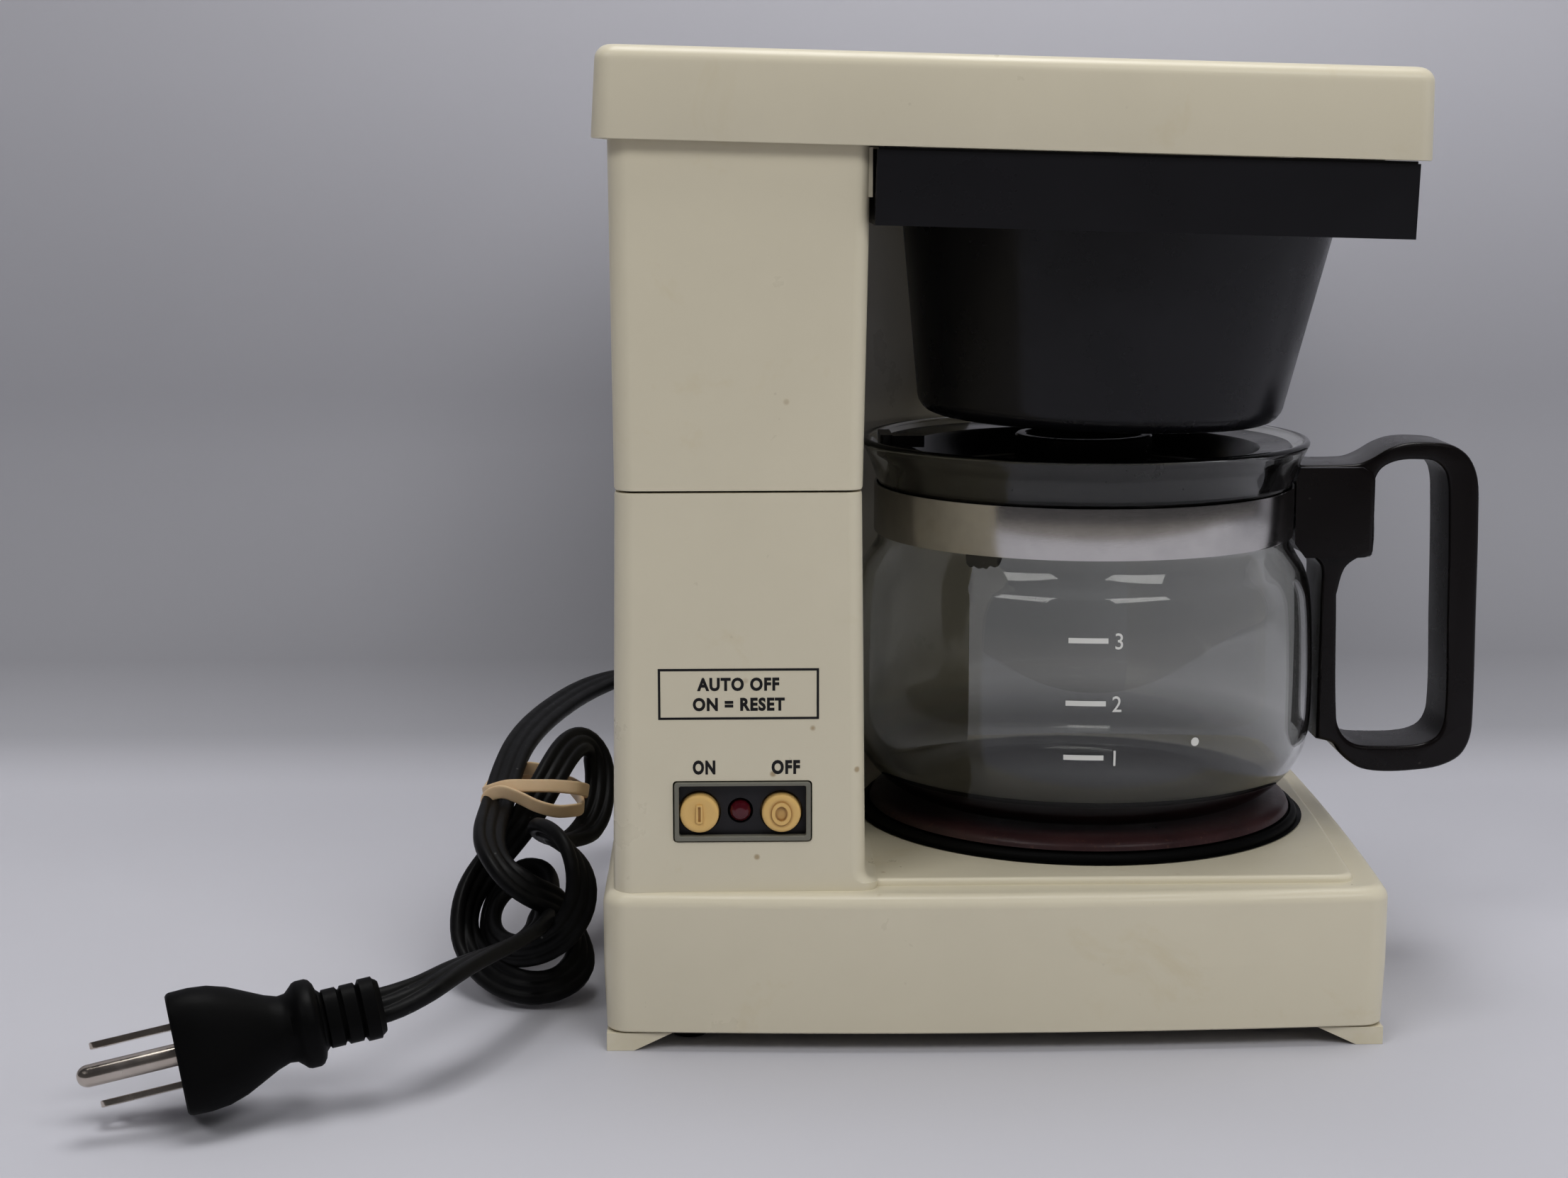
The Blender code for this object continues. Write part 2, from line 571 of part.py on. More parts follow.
# ---------------------------------------------------------------- switch panel
SX, SZ = 33.2, 57.7
bz = box("switch_bezel", 17.5, 49.1, 0.9, 3.1, 50.5, 64.5, GREY)
cut(bz, box("c", 18.6, 48.0, -2, 6, 51.7, 63.6, None))
BTN = (("on_button", 23.3), ("off_button", 42.3))
BZ = 57.0
pn = box("switch_panel", 18.0, 48.6, 3.4, 5.2, 51.0, 64.2, BLACK)
for nm, x in BTN:
    cut(pn, cyl("c", (x, 0, BZ), 4.9, 9, None, axis="y", n=24))
cut(pn, cyl("c", (32.8, 0, 57.3), 2.9, 9, None, axis="y", n=16))
finish_smooth(pn)
for nm, x in BTN:
    b = cyl(nm, (x, 1.0, BZ), 4.55, 4.9, TAN, axis="y", n=24)
    union(b, cyl("f", (x, 5.6, BZ), 5.5, 1.4, None, axis="y", n=20),
          cyl("s", (x, 6.5, BZ), 1.6, 7.0, None, axis="y", n=12))
    finish_smooth(b)
    set_origin(b, T((x, 1.0, BZ)))
    coil = [(x + 2.7 * math.cos(a), 7.7 + 5.6 * a / (2 * math.pi * 4), BZ + 2.7 * math.sin(a))
            for a in [2 * math.pi * k / 7 for k in range(29)]]
    finish_smooth(rod(nm.replace("button", "spring"), coil, 0.3, STEEL, 4), 60)
    box(nm.replace("button", "switch"), x - 4, x + 4, 15.8, 20.0, BZ - 4, BZ + 4, BLACK)
ln = cyl("indicator_lens", (32.8, 2.6, 57.3), 2.5, 5.4, RED, axis="y", n=16)
union(ln, cyl("d", (32.8, 1.9, 57.3), 1.5, 1.2, None, axis="y", n=16, r2=2.5))
finish_smooth(ln)
finish_smooth(cyl("indicator_lamp", (32.8, 8.4, 57.3), 1.8, 11.4, WHITE, axis="y", n=12))
box("timer_board", 11.0, 55.0, 20.3, 21.9, 46.0, 98.0, GREEN)
box("timer_relay", 24.0, 43.0, 22.2, 34.0, 74.0, 89.0, BLACK)

# ---------------------------------------------------------------- carafe
cg = turned("carafe_glass", [
    (0, 46.3), (40.5, 46.3), (45.5, 46.9), (50.0, 49.2), (54.2, 53.4), (56.8, 57.6), (58.3, 63.0), (GLASS_R, 70.0),
    (58.6, 85.0), (57.7, 98.5), (56.1, 104.2), (54.0, 107.8), (52.1, 112.0), (52.1, 125.2),
    (54.7, 132.0), (56.4, 135.2), (56.2, 136.7), (55.2, 137.0),
    (53.1, 132.4), (50.5, 125.4), (50.5, 111.6), (52.8, 106.3), (54.6, 103.2),
    (56.1, 98.0), (57.2, 78.0), (56.7, 63.4), (55.0, 58.0), (52.0, 53.4),
    (46.0, 49.0), (40.3, 48.0), (0, 48.0)], CAR_X, CAR_Y, GLASS, n=28)
finish_smooth(cg)
cb = turned("carafe_band", [(53.1, 112.9), (53.1, 125.2), (52.5, 125.2), (52.5, 112.9), (53.1, 112.9)],
            CAR_X, CAR_Y, STEEL, n=36)
finish_smooth(cb)
outer = [(166.0, 130.1), (166.0, 106.6), (178.5, 106.6), (180.4, 104.0), (180.5, 98.0), (180.5, 59.6), (184.6, 58.4), (186.4, 56.0),
         (189.0, 53.6), (192.5, 51.6), (198.3, 50.8), (206.0, 51.1), (212.5, 52.1), (217.7, 54.8), (220.2, 59.5),
         (220.7, 66.0), (220.4, 90.0), (219.9, 118.0), (219.3, 126.5), (217.0, 131.8), (213.0, 134.8),
         (208.0, 135.7), (201.0, 135.6), (196.5, 134.2), (192.0, 131.6), (188.0, 130.3)]
inner = [(184.5, 97.0), (186.3, 103.6), (189.5, 106.3), (193.2, 107.2), (193.3, 126.0), (195.0, 129.3), (199.0, 131.1),
         (204.5, 131.4), (208.5, 130.7), (211.3, 127.5), (212.2, 120.0), (213.0, 90.0), (213.4, 65.0),
         (211.5, 60.0), (206.5, 57.9), (196.0, 57.6), (190.5, 58.2), (187.3, 60.6), (185.6, 65.0)]


def side_prism(name, poly, y0, y1, m):
    bm = bmesh.new()
    loft(bm, [[(x, y, z) for x, z in poly] for y in (y0, y1)])
    return new_obj(name, bm, m)


ch = side_prism("carafe_handle", outer, CAR_Y - 10, CAR_Y + 10, BROWN)
cut(ch, side_prism("c", inner, CAR_Y - 20, CAR_Y + 20, None))
bm = bmesh.new()
bm.from_mesh(ch.data)
ed = [e for e in bm.edges if len(e.link_faces) == 2 and e.calc_face_angle(0) > math.radians(60)
      and abs(e.verts[0].co.y - e.verts[1].co.y) < 1e-6]
bmesh.ops.bevel(bm, geom=ed, offset=0.0014, segments=2, profile=0.6, affect="EDGES", clamp_overlap=True)
bm.to_mesh(ch.data)
bm.free()
union(ch, side_prism("blk", [(166.0, 129.6), (166.0, 106.9), (192.4, 106.9), (192.9, 108.5), (192.9, 126.5), (190.0, 129.6)],
                     CAR_Y - 12, CAR_Y + 12, None))
cut(ch, turned("c", [(0, 40), (59.6, 40), (59.6, 99.0), (58.5, 103.0), (56.2, 107.0), (53.6, 110.5), (53.5, 127.0),
                     (55.8, 133.5), (57.2, 140), (0, 140)], CAR_X, CAR_Y, None, n=60),
    cyl("c", (190.4, CAR_Y, 118.5), 3.2, 8, None, axis="x", n=16),
    cyl("c", (170.0, CAR_Y, 118.5), 1.6, 24, None, axis="x", n=10))
finish_smooth(ch)
bs = cyl("band_screw", (190.7, CAR_Y, 118.5), 2.8, 1.8, STEEL, axis="x", n=14)
union(bs, cyl("s", (175.0, CAR_Y, 118.5), 1.2, 16.5, None, axis="x", n=10))
finish_smooth(bs)
cl = turned("carafe_lid", [
    (52.2, 135.2), (52.2, 133.4), (49.9, 131.6), (49.4, 118.5), (47.9, 118.5), (47.9, 130.6), (45.0, 132.4),
    (42.6, 125.6), (5.0, 125.6), (5.0, 127.4), (14.6, 127.4), (14.6, 137.6), (17.3, 137.6), (17.3, 127.4),
    (41.4, 127.4), (43.8, 134.6), (51.4, 135.7), (52.2, 135.2)], CAR_X, CAR_Y, BLACK, n=28)
union(cl, box("t", 70.2, 80.0, 69.5, 74.5, 134.3, 137.2, None), box("t", 68.6, 71.6, 65.0, 79.0, 135.0, 137.9, None),
      box("t", 91.4, 100.6, 75.4, 77.2, 99.6, 126.6, None))
finish_smooth(cl)
set_origin(cl, T((CAR_X, CAR_Y, 135.0)))

# ---------------------------------------------------------------- power cord
sr = cyl("strain_relief", (22, 149.0, 55), 6.0, 12.5, RUBBER, axis="y", n=16, r2=4.6)
union(sr, cyl("s", (22, 142.0, 55), 4.9, 8.0, None, axis="y", n=16), cyl("s", (22, 140.0, 55), 6.4, 3.0, None, axis="y", n=16))
cut(sr, cyl("c", (22, 130, 55), 0.6, 8.6, None, axis="y", n=8))
finish_smooth(sr)

LEAD = [(22, 161.9, 55), (22, 167, 55), (19.0, 173.5, 55.1), (12.0, 178.5, 55.0), (4.0, 179.5, 54.6), (-4.5, 175, 54.0),
        (-12.0, 162, 53.2), (-17.5, 143, 52.7), (-23.3, 120, 51.9), (-27.0, 102, 50.6), (-27.9, 90, 50.2), (-26.6, 81.5, 50.2), (-23.5, 75.4, 50.2)]
TAIL = [(-20.5, 20.5, 21.8), (-22.5, 14.0, 22.4), (-26.5, 0, 23.8), (-32.0, -14, 24.6), (-38.8, -25.0, 23.9),
        (-45.4, -29.9, 22.5)]


def cord_tube(name, route, r, step):
    n = max(6, int(sum((Vector(a) - Vector(b)).length for a, b in zip(route[:-1], route[1:])) / step))
    pts = smooth_path(route, n)
    cu = bpy.data.curves.new(name, "CURVE")
    cu.dimensions = "3D"
    cu.bevel_depth = r / 1000.0
    cu.bevel_resolution = 2
    cu.use_fill_caps = True
    cu.resolution_u = 1
    cu.render_resolution_u = 0
    sp = cu.splines.new("POLY")
    sp.points.add(len(pts) - 1)
    for p, q in zip(sp.points, pts):
        p.co = (*T(q), 1.0)
    cu.materials.append(mat(*RUBBER))
    ob = bpy.data.objects.new(name, cu)
    bpy.context.scene.collection.objects.link(ob)
    return ob


cord_tube("cord_lead", LEAD, 3.0, 8.0)
cord_tube("cord_tail", TAIL, 3.0, 8.0)


def ellipse(cx, cy, rx, ry, z, n=16):
    return [(cx + rx * math.cos(2 * math.pi * k / n), cy + ry * math.sin(2 * math.pi * k / n), z) for k in range(n)]


bm = bmesh.new()
loft(bm, [ellipse(-22, 35, 13, 9, 0.3), ellipse(-23, 37, 19, 13.5, 5), ellipse(-24, 41, 23, 17, 14),
          ellipse(-23.6, 45, 22.6, 18, 24), ellipse(-21.5, 49, 20, 16, 33), ellipse(-18.5, 53.5, 15.5, 12.5, 40.5),
          ellipse(-17.3, 56.0, 13.6, 10.8, 43.5), ellipse(-16.3, 58.5, 13.4, 10.8, 48.4),
          ellipse(-16.0, 61.5, 13.3, 13.0, 50.2), ellipse(-14.6, 66, 13.0, 14.0, 55), ellipse(-11.2, 71, 10.0, 12.0, 62),
          ellipse(-8.7, 74, 6.2, 7.5, 67)])
finish_smooth(new_obj("cord_bundle", bm, RUBBER))
bm = bmesh.new()
loft(bm, [ellipse(-17.0, 56.8, 15.2, 12.4, 44.2), ellipse(-16.4, 58.2, 15.2, 12.4, 47.8),
          ellipse(-16.4, 58.2, 14.2, 11.4, 47.8), ellipse(-17.0, 56.8, 14.2, 11.4, 44.2)], ring=True)
finish_smooth(new_obj("rubber_band", bm, BANDC))

# ---------------------------------------------------------------- plug, in its own frame
PF = Vector((-89.6, -42.0, 15.4))
PD = Vector((-0.954, -0.26, -0.151)).normalized()
PN = Vector((0.193, -0.915, 0.353))
PN = (PN - PD * PN.dot(PD)).normalized()
PB = PD.cross(PN)
if PB.z < 0:
    PB = -PB


def plug_tf(p):
    """p = (along the prongs, towards the ground pin, up)"""
    return tuple(PF + PD * p[0] + PN * p[1] + PB * p[2])


def plug_section(s, hn, hb, e=2.6, n=16):
    out = []
    for k in range(n):
        a = 2 * math.pi * k / n
        c, d = math.cos(a), math.sin(a)
        out.append((s, hn * math.copysign(abs(c) ** (2 / e), c), hb * math.copysign(abs(d) ** (2 / e), d)))
    return out


bm = bmesh.new()
loft(bm, [plug_section(0, 11.5, 12.8, 3.2), plug_section(-1.0, 12.2, 13.4, 3.2), plug_section(-9, 12.2, 13.3, 3.0),
          plug_section(-15, 10.8, 11.2), plug_section(-20, 8.6, 8.6, 2.3), plug_section(-24, 7.3, 7.2, 2.1),
          plug_section(-25.5, 7.4, 7.4, 2.1), plug_section(-26.2, 9.6, 9.6, 2.0), plug_section(-30.5, 9.6, 9.6, 2.0),
          plug_section(-31.5, 7.4, 7.4, 2.1), plug_section(-33, 6.4, 6.4, 2.2), plug_section(-45.2, 5.4, 5.4, 2.2)])
pb = new_obj("plug_body", bm, RUBBER, tf=plug_tf)
for o in (-5.5,):
    for s in (1, -1):
        cut(pb, box("c", -6.0, 3.0, o - 3.45, o + 3.45, s * 6.35 - 1.05, s * 6.35 + 1.05, None, tf=plug_tf))
cut(pb, cyl("c", (-6.0, 6.4, 0), 2.7, 9.0, None, axis="x", n=12, tf=plug_tf))
finish_smooth(pb)
for nm, s in (("plug_blade_upper", 1), ("plug_blade_lower", -1)):
    box(nm, -5.6, 17.6, -5.5 - 3.15, -5.5 + 3.15, s * 6.35 - 0.75, s * 6.35 + 0.75, NICKEL, tf=plug_tf)
gp = cyl("plug_ground_pin", (-5.6, 6.4, 0), 2.4, 24.2, NICKEL, axis="x", n=12, tf=plug_tf)
union(gp, cyl("t", (18.2, 6.4, 0), 2.4, 2.8, None, axis="x", n=12, r2=1.1, tf=plug_tf))
finish_smooth(gp)
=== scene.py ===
# Looks of the drip coffee maker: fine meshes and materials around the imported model.
import math
import bpy
import bmesh
import numpy as np
from mathutils import Matrix, Vector


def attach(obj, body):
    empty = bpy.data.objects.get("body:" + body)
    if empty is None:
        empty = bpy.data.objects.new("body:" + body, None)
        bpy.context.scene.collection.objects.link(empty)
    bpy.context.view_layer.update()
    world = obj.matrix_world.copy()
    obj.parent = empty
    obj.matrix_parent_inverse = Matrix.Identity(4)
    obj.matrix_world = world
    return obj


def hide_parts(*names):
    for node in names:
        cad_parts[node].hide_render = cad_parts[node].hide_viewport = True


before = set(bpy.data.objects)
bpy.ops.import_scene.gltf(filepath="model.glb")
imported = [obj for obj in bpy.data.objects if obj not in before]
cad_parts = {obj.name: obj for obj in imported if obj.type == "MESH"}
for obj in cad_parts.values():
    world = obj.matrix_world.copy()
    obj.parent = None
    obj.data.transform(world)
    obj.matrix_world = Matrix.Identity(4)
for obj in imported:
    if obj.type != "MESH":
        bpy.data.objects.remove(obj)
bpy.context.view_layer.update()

# ------------------------------------------------------------ sizes shared with the model (mm)
OX, OY = 110.524, 76.225
BASE_L, BASE_R, BASE_D = 0.6, 184.8, 150.0
FRONT_BOW, SIDE_BOW = 3.4, 3.3
SKIRT_Z, DECK_Z, PLAT_Z, SEAM_Z = 4.7, 38.3, 40.0, 131.8
COL_F, COL_R, WALL = 1.5, 147.0, 2.2
CAR_X, CAR_Y, BAY_R = 120.6, 72.0, 64.0
HEAD_TILT = math.radians(1.65)
HPX, HPZ = 32.0, 209.0
BASK_X, BASK_Y = 124.2, 66.0
HINGE_Y, HINGE_Z = 153.4, 207.4
SCREWS = [(30, 20), (160, 11.5), (160, 134), (26, 132)]
HX = (40.0, 145.0)


def T(p):
    return Vector(((p[0] - OX) / 1000.0, (p[1] - OY) / 1000.0, p[2] / 1000.0))


def H(p):
    dx, dz = p[0] - HPX, p[2] - HPZ
    c, s = math.cos(HEAD_TILT), math.sin(HEAD_TILT)
    return (HPX + dx * c + dz * s, p[1], HPZ - dx * s + dz * c)


def same(p):
    return p


# ------------------------------------------------------------ node helpers for materials
def nt_new(name):
    m = bpy.data.materials.new(name)
    m.use_nodes = True
    nt = m.node_tree
    return m, nt, nt.nodes["Principled BSDF"]


def node(nt, kind, **kw):
    n = nt.nodes.new(kind)
    for k, v in kw.items():
        setattr(n, k, v)
    return n


def setin(n, **kw):
    for k, v in kw.items():
        n.inputs[k.replace("_", " ")].default_value = v
    return n


def coords(nt, scale=(1, 1, 1)):
    tc = node(nt, "ShaderNodeTexCoord")
    mp = node(nt, "ShaderNodeMapping")
    mp.inputs["Scale"].default_value = scale
    nt.links.new(tc.outputs["Object"], mp.inputs["Vector"])
    return mp.outputs["Vector"]


def noise(nt, vec, scale, detail=3.0, rough=0.55, dist=0.0):
    n = node(nt, "ShaderNodeTexNoise")
    setin(n, Scale=scale, Detail=detail, Roughness=rough, Distortion=dist)
    nt.links.new(vec, n.inputs["Vector"])
    return n.outputs["Fac"]


def ramp(nt, fac, stops, interp="LINEAR"):
    r = node(nt, "ShaderNodeValToRGB")
    r.color_ramp.interpolation = interp
    el = r.color_ramp.elements
    while len(el) < len(stops):
        el.new(0.5)
    for e, (p, c) in zip(el, stops):
        e.position = p
        e.color = (c, c, c, 1) if isinstance(c, (int, float)) else (*c, 1)
    nt.links.new(fac, r.inputs["Fac"])
    return r.outputs["Color"]


def mixc(nt, fac, a, b, mode="MIX"):
    n = node(nt, "ShaderNodeMix", data_type="RGBA", blend_type=mode)
    for sock, v in ((n.inputs[0], fac), (n.inputs[6], a), (n.inputs[7], b)):
        if isinstance(v, bpy.types.NodeSocket):
            nt.links.new(v, sock)
        elif isinstance(v, (int, float)):
            sock.default_value = v
        else:
            sock.default_value = (*v, 1)
    return n.outputs[2]


def math_n(nt, op, a, b=0.0):
    n = node(nt, "ShaderNodeMath", operation=op)
    for sock, v in ((n.inputs[0], a), (n.inputs[1], b)):
        if isinstance(v, bpy.types.NodeSocket):
            nt.links.new(v, sock)
        else:
            sock.default_value = v
    return n.outputs[0]


def bump(nt, b, height, strength, dist=0.0002):
    n = node(nt, "ShaderNodeBump")
    n.inputs["Strength"].default_value = strength
    n.inputs["Distance"].default_value = dist
    nt.links.new(height, n.inputs["Height"])
    nt.links.new(n.outputs["Normal"], b.inputs["Normal"])


def plastic(name, base, rough=0.35, var=0.06, grain=0.10, grain_scale=2600, dirt=None, dust=None, spec=0.5):
    """Moulded plastic: faint cloudy tone, uneven gloss, fine moulding grain; optional dirt and dust specks."""
    m, nt, b = nt_new(name)
    v = coords(nt)
    big = noise(nt, v, 14, 4, 0.6)
    dark = tuple(c * (1 - var) for c in base)
    col = mixc(nt, ramp(nt, big, [(0.35, 0.0), (0.68, 1.0)]), dark, base)
    fine = noise(nt, v, grain_scale, 2, 0.5)
    if dirt:
        stain = noise(nt, v, 34, 5, 0.68, 0.6)
        col = mixc(nt, ramp(nt, stain, [(0.60, 0.0), (0.78, 0.30)]), col, dirt[0])
        vo = node(nt, "ShaderNodeTexVoronoi")
        setin(vo, Scale=95.0, Randomness=1.0)
        nt.links.new(v, vo.inputs["Vector"])
        pick = noise(nt, v, 23, 2, 0.5)
        spot = math_n(nt, "MULTIPLY", ramp(nt, vo.outputs["Distance"], [(0.04, 1.0), (0.085, 0.0)]),
                      ramp(nt, pick, [(0.57, 0.0), (0.63, 1.0)]))
        col = mixc(nt, math_n(nt, "MULTIPLY", spot, 0.62), col, dirt[1])
    if dust:
        vo = node(nt, "ShaderNodeTexVoronoi")
        setin(vo, Scale=170.0, Randomness=1.0)
        nt.links.new(v, vo.inputs["Vector"])
        pick = noise(nt, v, 60, 2, 0.5)
        sp = math_n(nt, "MULTIPLY", ramp(nt, vo.outputs["Distance"], [(0.035, 1.0), (0.07, 0.0)]),
                    ramp(nt, pick, [(0.56, 0.0), (0.64, 1.0)]))
        col = mixc(nt, math_n(nt, "MULTIPLY", sp, dust[0]), col, dust[1])
    nt.links.new(col, b.inputs["Base Color"])
    sm = noise(nt, v, 46, 5, 0.65)
    rr = ramp(nt, sm, [(0.3, max(rough - 0.07, 0.02)), (0.72, rough + 0.10)])
    nt.links.new(rr, b.inputs["Roughness"])
    b.inputs["Specular IOR Level"].default_value = spec
    bump(nt, b, fine, grain, 0.00006)
    return m


def metal(name, base, rough, brush=None, tint=None, streak=0.0):
    """Metal; brush = mapping scale that draws the grain out along one direction."""
    m, nt, b = nt_new(name)
    b.inputs["Metallic"].default_value = 1.0
    v = coords(nt, brush or (1, 1, 1))
    n1 = noise(nt, v, 900 if brush else 120, 4, 0.6)
    v2 = coords(nt)
    n2 = noise(nt, v2, 45, 4, 0.6)
    col = mixc(nt, ramp(nt, n2, [(0.35, 0.0), (0.7, 1.0)]), base, tint or tuple(c * 0.86 for c in base))
    nt.links.new(col, b.inputs["Base Color"])
    rr = ramp(nt, n1, [(0.3, max(rough - 0.08, 0.03)), (0.7, rough + 0.10)])
    nt.links.new(rr, b.inputs["Roughness"])
    bump(nt, b, n1, 0.10 if brush else 0.06, 0.00003)
    return m


M = {}
M["cream"] = plastic("cream_plastic_look", (0.725, 0.672, 0.532), 0.33, 0.045, 0.06, 3200,
                     dirt=((0.60, 0.50, 0.29), (0.30, 0.185, 0.06)), dust=(0.18, (0.31, 0.26, 0.19)))
M["black"] = plastic("black_gloss_look", (0.0105, 0.0103, 0.0128), 0.24, 0.15, 0.05, 2600,
                     dust=(0.35, (0.20, 0.20, 0.22)), spec=0.38)
# the drawer front is the same black plastic as the cup, drawn lighter in colour: painted sheen
M["flange"] = plastic("black_flange_painted_sheen_look", (0.0165, 0.0163, 0.0195), 0.30, 0.15, 0.06, 2600,
                      dust=(0.5, (0.28, 0.28, 0.30)), spec=0.38)
M["brown"] = plastic("brown_handle_look", (0.0100, 0.0076, 0.0080), 0.25, 0.2, 0.04, 2400,
                     dust=(0.30, (0.16, 0.15, 0.14)), spec=0.30)
M["lid"] = plastic("lid_look", (0.0060, 0.0052, 0.0054), 0.22, 0.2, 0.04, 2600, dust=(0.30, (0.16, 0.15, 0.14)), spec=0.28)
M["matte"] = plastic("black_matte_look", (0.020, 0.019, 0.022), 0.42, 0.2, 0.2, 2400, dust=(0.5, (0.3, 0.3, 0.3)))
M["grey"] = plastic("grey_bezel_look", (0.21, 0.205, 0.17), 0.42, 0.12, 0.15, 2000,
                    dirt=((0.30, 0.24, 0.13), (0.10, 0.07, 0.03)))
M["tan"] = plastic("tan_button_look", (0.78, 0.53, 0.21), 0.34, 0.06, 0.05, 2600,
                   dirt=((0.62, 0.40, 0.14), (0.25, 0.13, 0.04)))
M["white"] = plastic("white_inner_look", (0.70, 0.70, 0.68), 0.42, 0.06, 0.1, 1800,
                     dirt=((0.58, 0.54, 0.45), (0.45, 0.40, 0.30)))
M["board"] = plastic("board_look", (0.04, 0.17, 0.06), 0.38, 0.2, 0.1, 1800)
M["rubber"] = plastic("black_rubber_look", (0.0042, 0.0042, 0.0044), 0.50, 0.2, 0.30, 1500,
                      dust=(0.40, (0.10, 0.10, 0.10)), spec=0.14)
M["band"] = metal("steel_band_look", (0.62, 0.60, 0.585), 0.17, brush=(1, 1, 26), tint=(0.47, 0.46, 0.45))
M["nickel"] = metal("nickel_look", (0.64, 0.585, 0.53), 0.20, tint=(0.50, 0.44, 0.38))
M["zinc"] = metal("zinc_look", (0.62, 0.62, 0.62), 0.34)
M["alu"] = metal("aluminium_look", (0.66, 0.66, 0.67), 0.45)
M["ink"] = plastic("ink_look", (0.012, 0.011, 0.012), 0.5, 0.2, 0.05, 2400)
M["print"] = plastic("white_print_look", (0.80, 0.80, 0.77), 0.5, 0.1, 0.1, 2400)


def mat_maroon():
    m, nt, b = nt_new("plate_enamel_look")
    v = coords(nt)
    n1 = noise(nt, v, 60, 5, 0.65)
    col = mixc(nt, ramp(nt, n1, [(0.35, 0.0), (0.7, 1.0)]), (0.032, 0.0160, 0.0175), (0.060, 0.0270, 0.0280))
    n2 = noise(nt, v, 900, 3, 0.6)
    col = mixc(nt, ramp(nt, n2, [(0.60, 0.0), (0.72, 0.55)]), col, (0.13, 0.07, 0.05))
    nt.links.new(col, b.inputs["Base Color"])
    nt.links.new(ramp(nt, n1, [(0.3, 0.26), (0.7, 0.44)]), b.inputs["Roughness"])
    bump(nt, b, n2, 0.25, 0.00008)
    return m


def mat_lens():
    m, nt, b = nt_new("red_lens_look")
    v = coords(nt)
    n1 = noise(nt, v, 700, 3, 0.6)
    col = mixc(nt, n1, (0.060, 0.003, 0.008), (0.11, 0.006, 0.014))
    nt.links.new(col, b.inputs["Base Color"])
    nt.links.new(ramp(nt, n1, [(0.3, 0.08), (0.7, 0.2)]), b.inputs["Roughness"])
    b.inputs["Coat Weight"].default_value = 0.5
    return m


def mat_glass():
    m, nt, b = nt_new("carafe_glass_look")
    v = coords(nt)
    n1 = noise(nt, v, 30, 4, 0.6)
    col = mixc(nt, n1, (0.925, 0.93, 0.912), (0.87, 0.875, 0.85))
    sz = node(nt, "ShaderNodeSeparateXYZ")
    nt.links.new(v, sz.inputs[0])
    # painted shade: the glass colour is drawn much darker below about 63 mm, over its foot, standing in for the shade
    # and dark reflections there; it is also darkened above 140 mm
    print_thick_or_glass_shade = ramp(nt, math_n(nt, "MULTIPLY", sz.outputs["Z"], 5.0),
                 [(0.225, (0.20, 0.20, 0.20)), (0.262, (0.30, 0.30, 0.295)), (0.315, (1.0, 1.0, 1.0)),
                  (0.700, (1.0, 1.0, 1.0)), (0.735, (0.62, 0.62, 0.61)), (1.0, (0.62, 0.62, 0.61))])
    nt.links.new(mixc(nt, 1.0, col, print_thick_or_glass_shade, "MULTIPLY"), b.inputs["Base Color"])
    sm = noise(nt, v, 60, 6, 0.7)
    nt.links.new(ramp(nt, sm, [(0.55, 0.0), (0.80, 0.055)]), b.inputs["Roughness"])
    b.inputs["Transmission Weight"].default_value = 1.0
    b.inputs["IOR"].default_value = 1.47
    return m


def mat_silicone():
    m, nt, b = nt_new("silicone_look")
    v = coords(nt)
    n1 = noise(nt, v, 80, 4, 0.6)
    nt.links.new(mixc(nt, n1, (0.66, 0.65, 0.60), (0.74, 0.73, 0.69)), b.inputs["Base Color"])
    nt.links.new(ramp(nt, n1, [(0.3, 0.3), (0.7, 0.5)]), b.inputs["Roughness"])
    b.inputs["Subsurface Weight"].default_value = 0.2
    b.inputs["Subsurface Radius"].default_value = (0.002, 0.002, 0.002)
    bump(nt, b, n1, 0.1, 0.0001)
    return m


def mat_cord():
    """Black vinyl: satin, fine lengthwise draw marks, light dust in the grooves."""
    m, nt, b = nt_new("vinyl_cord_look")
    v = coords(nt)
    n1 = noise(nt, v, 240, 5, 0.65)
    col = mixc(nt, ramp(nt, n1, [(0.4, 0.0), (0.75, 1.0)]), (0.0042, 0.0042, 0.0045), (0.0095, 0.0095, 0.0095))
    vo = node(nt, "ShaderNodeTexVoronoi")
    setin(vo, Scale=260.0, Randomness=1.0)
    nt.links.new(v, vo.inputs["Vector"])
    pick = noise(nt, v, 70, 3, 0.5)
    sp = math_n(nt, "MULTIPLY", ramp(nt, vo.outputs["Distance"], [(0.05, 1.0), (0.10, 0.0)]),
                ramp(nt, pick, [(0.56, 0.0), (0.62, 1.0)]))
    col = mixc(nt, math_n(nt, "MULTIPLY", sp, 0.55), col, (0.22, 0.22, 0.21))
    nt.links.new(col, b.inputs["Base Color"])
    nt.links.new(ramp(nt, n1, [(0.3, 0.38), (0.75, 0.54)]), b.inputs["Roughness"])
    b.inputs["Specular IOR Level"].default_value = 0.20
    bump(nt, b, n1, 0.3, 0.0001)
    return m


def mat_tanband():
    m, nt, b = nt_new("rubber_band_look")
    v = coords(nt)
    n1 = noise(nt, v, 90, 4, 0.6)
    nt.links.new(mixc(nt, n1, (0.62, 0.45, 0.27), (0.78, 0.60, 0.40)), b.inputs["Base Color"])
    nt.links.new(ramp(nt, n1, [(0.3, 0.45), (0.7, 0.62)]), b.inputs["Roughness"])
    b.inputs["Subsurface Weight"].default_value = 0.15
    b.inputs["Subsurface Radius"].default_value = (0.002, 0.001, 0.0006)
    bump(nt, b, noise(nt, v, 1400, 3, 0.6), 0.25, 0.00006)
    return m


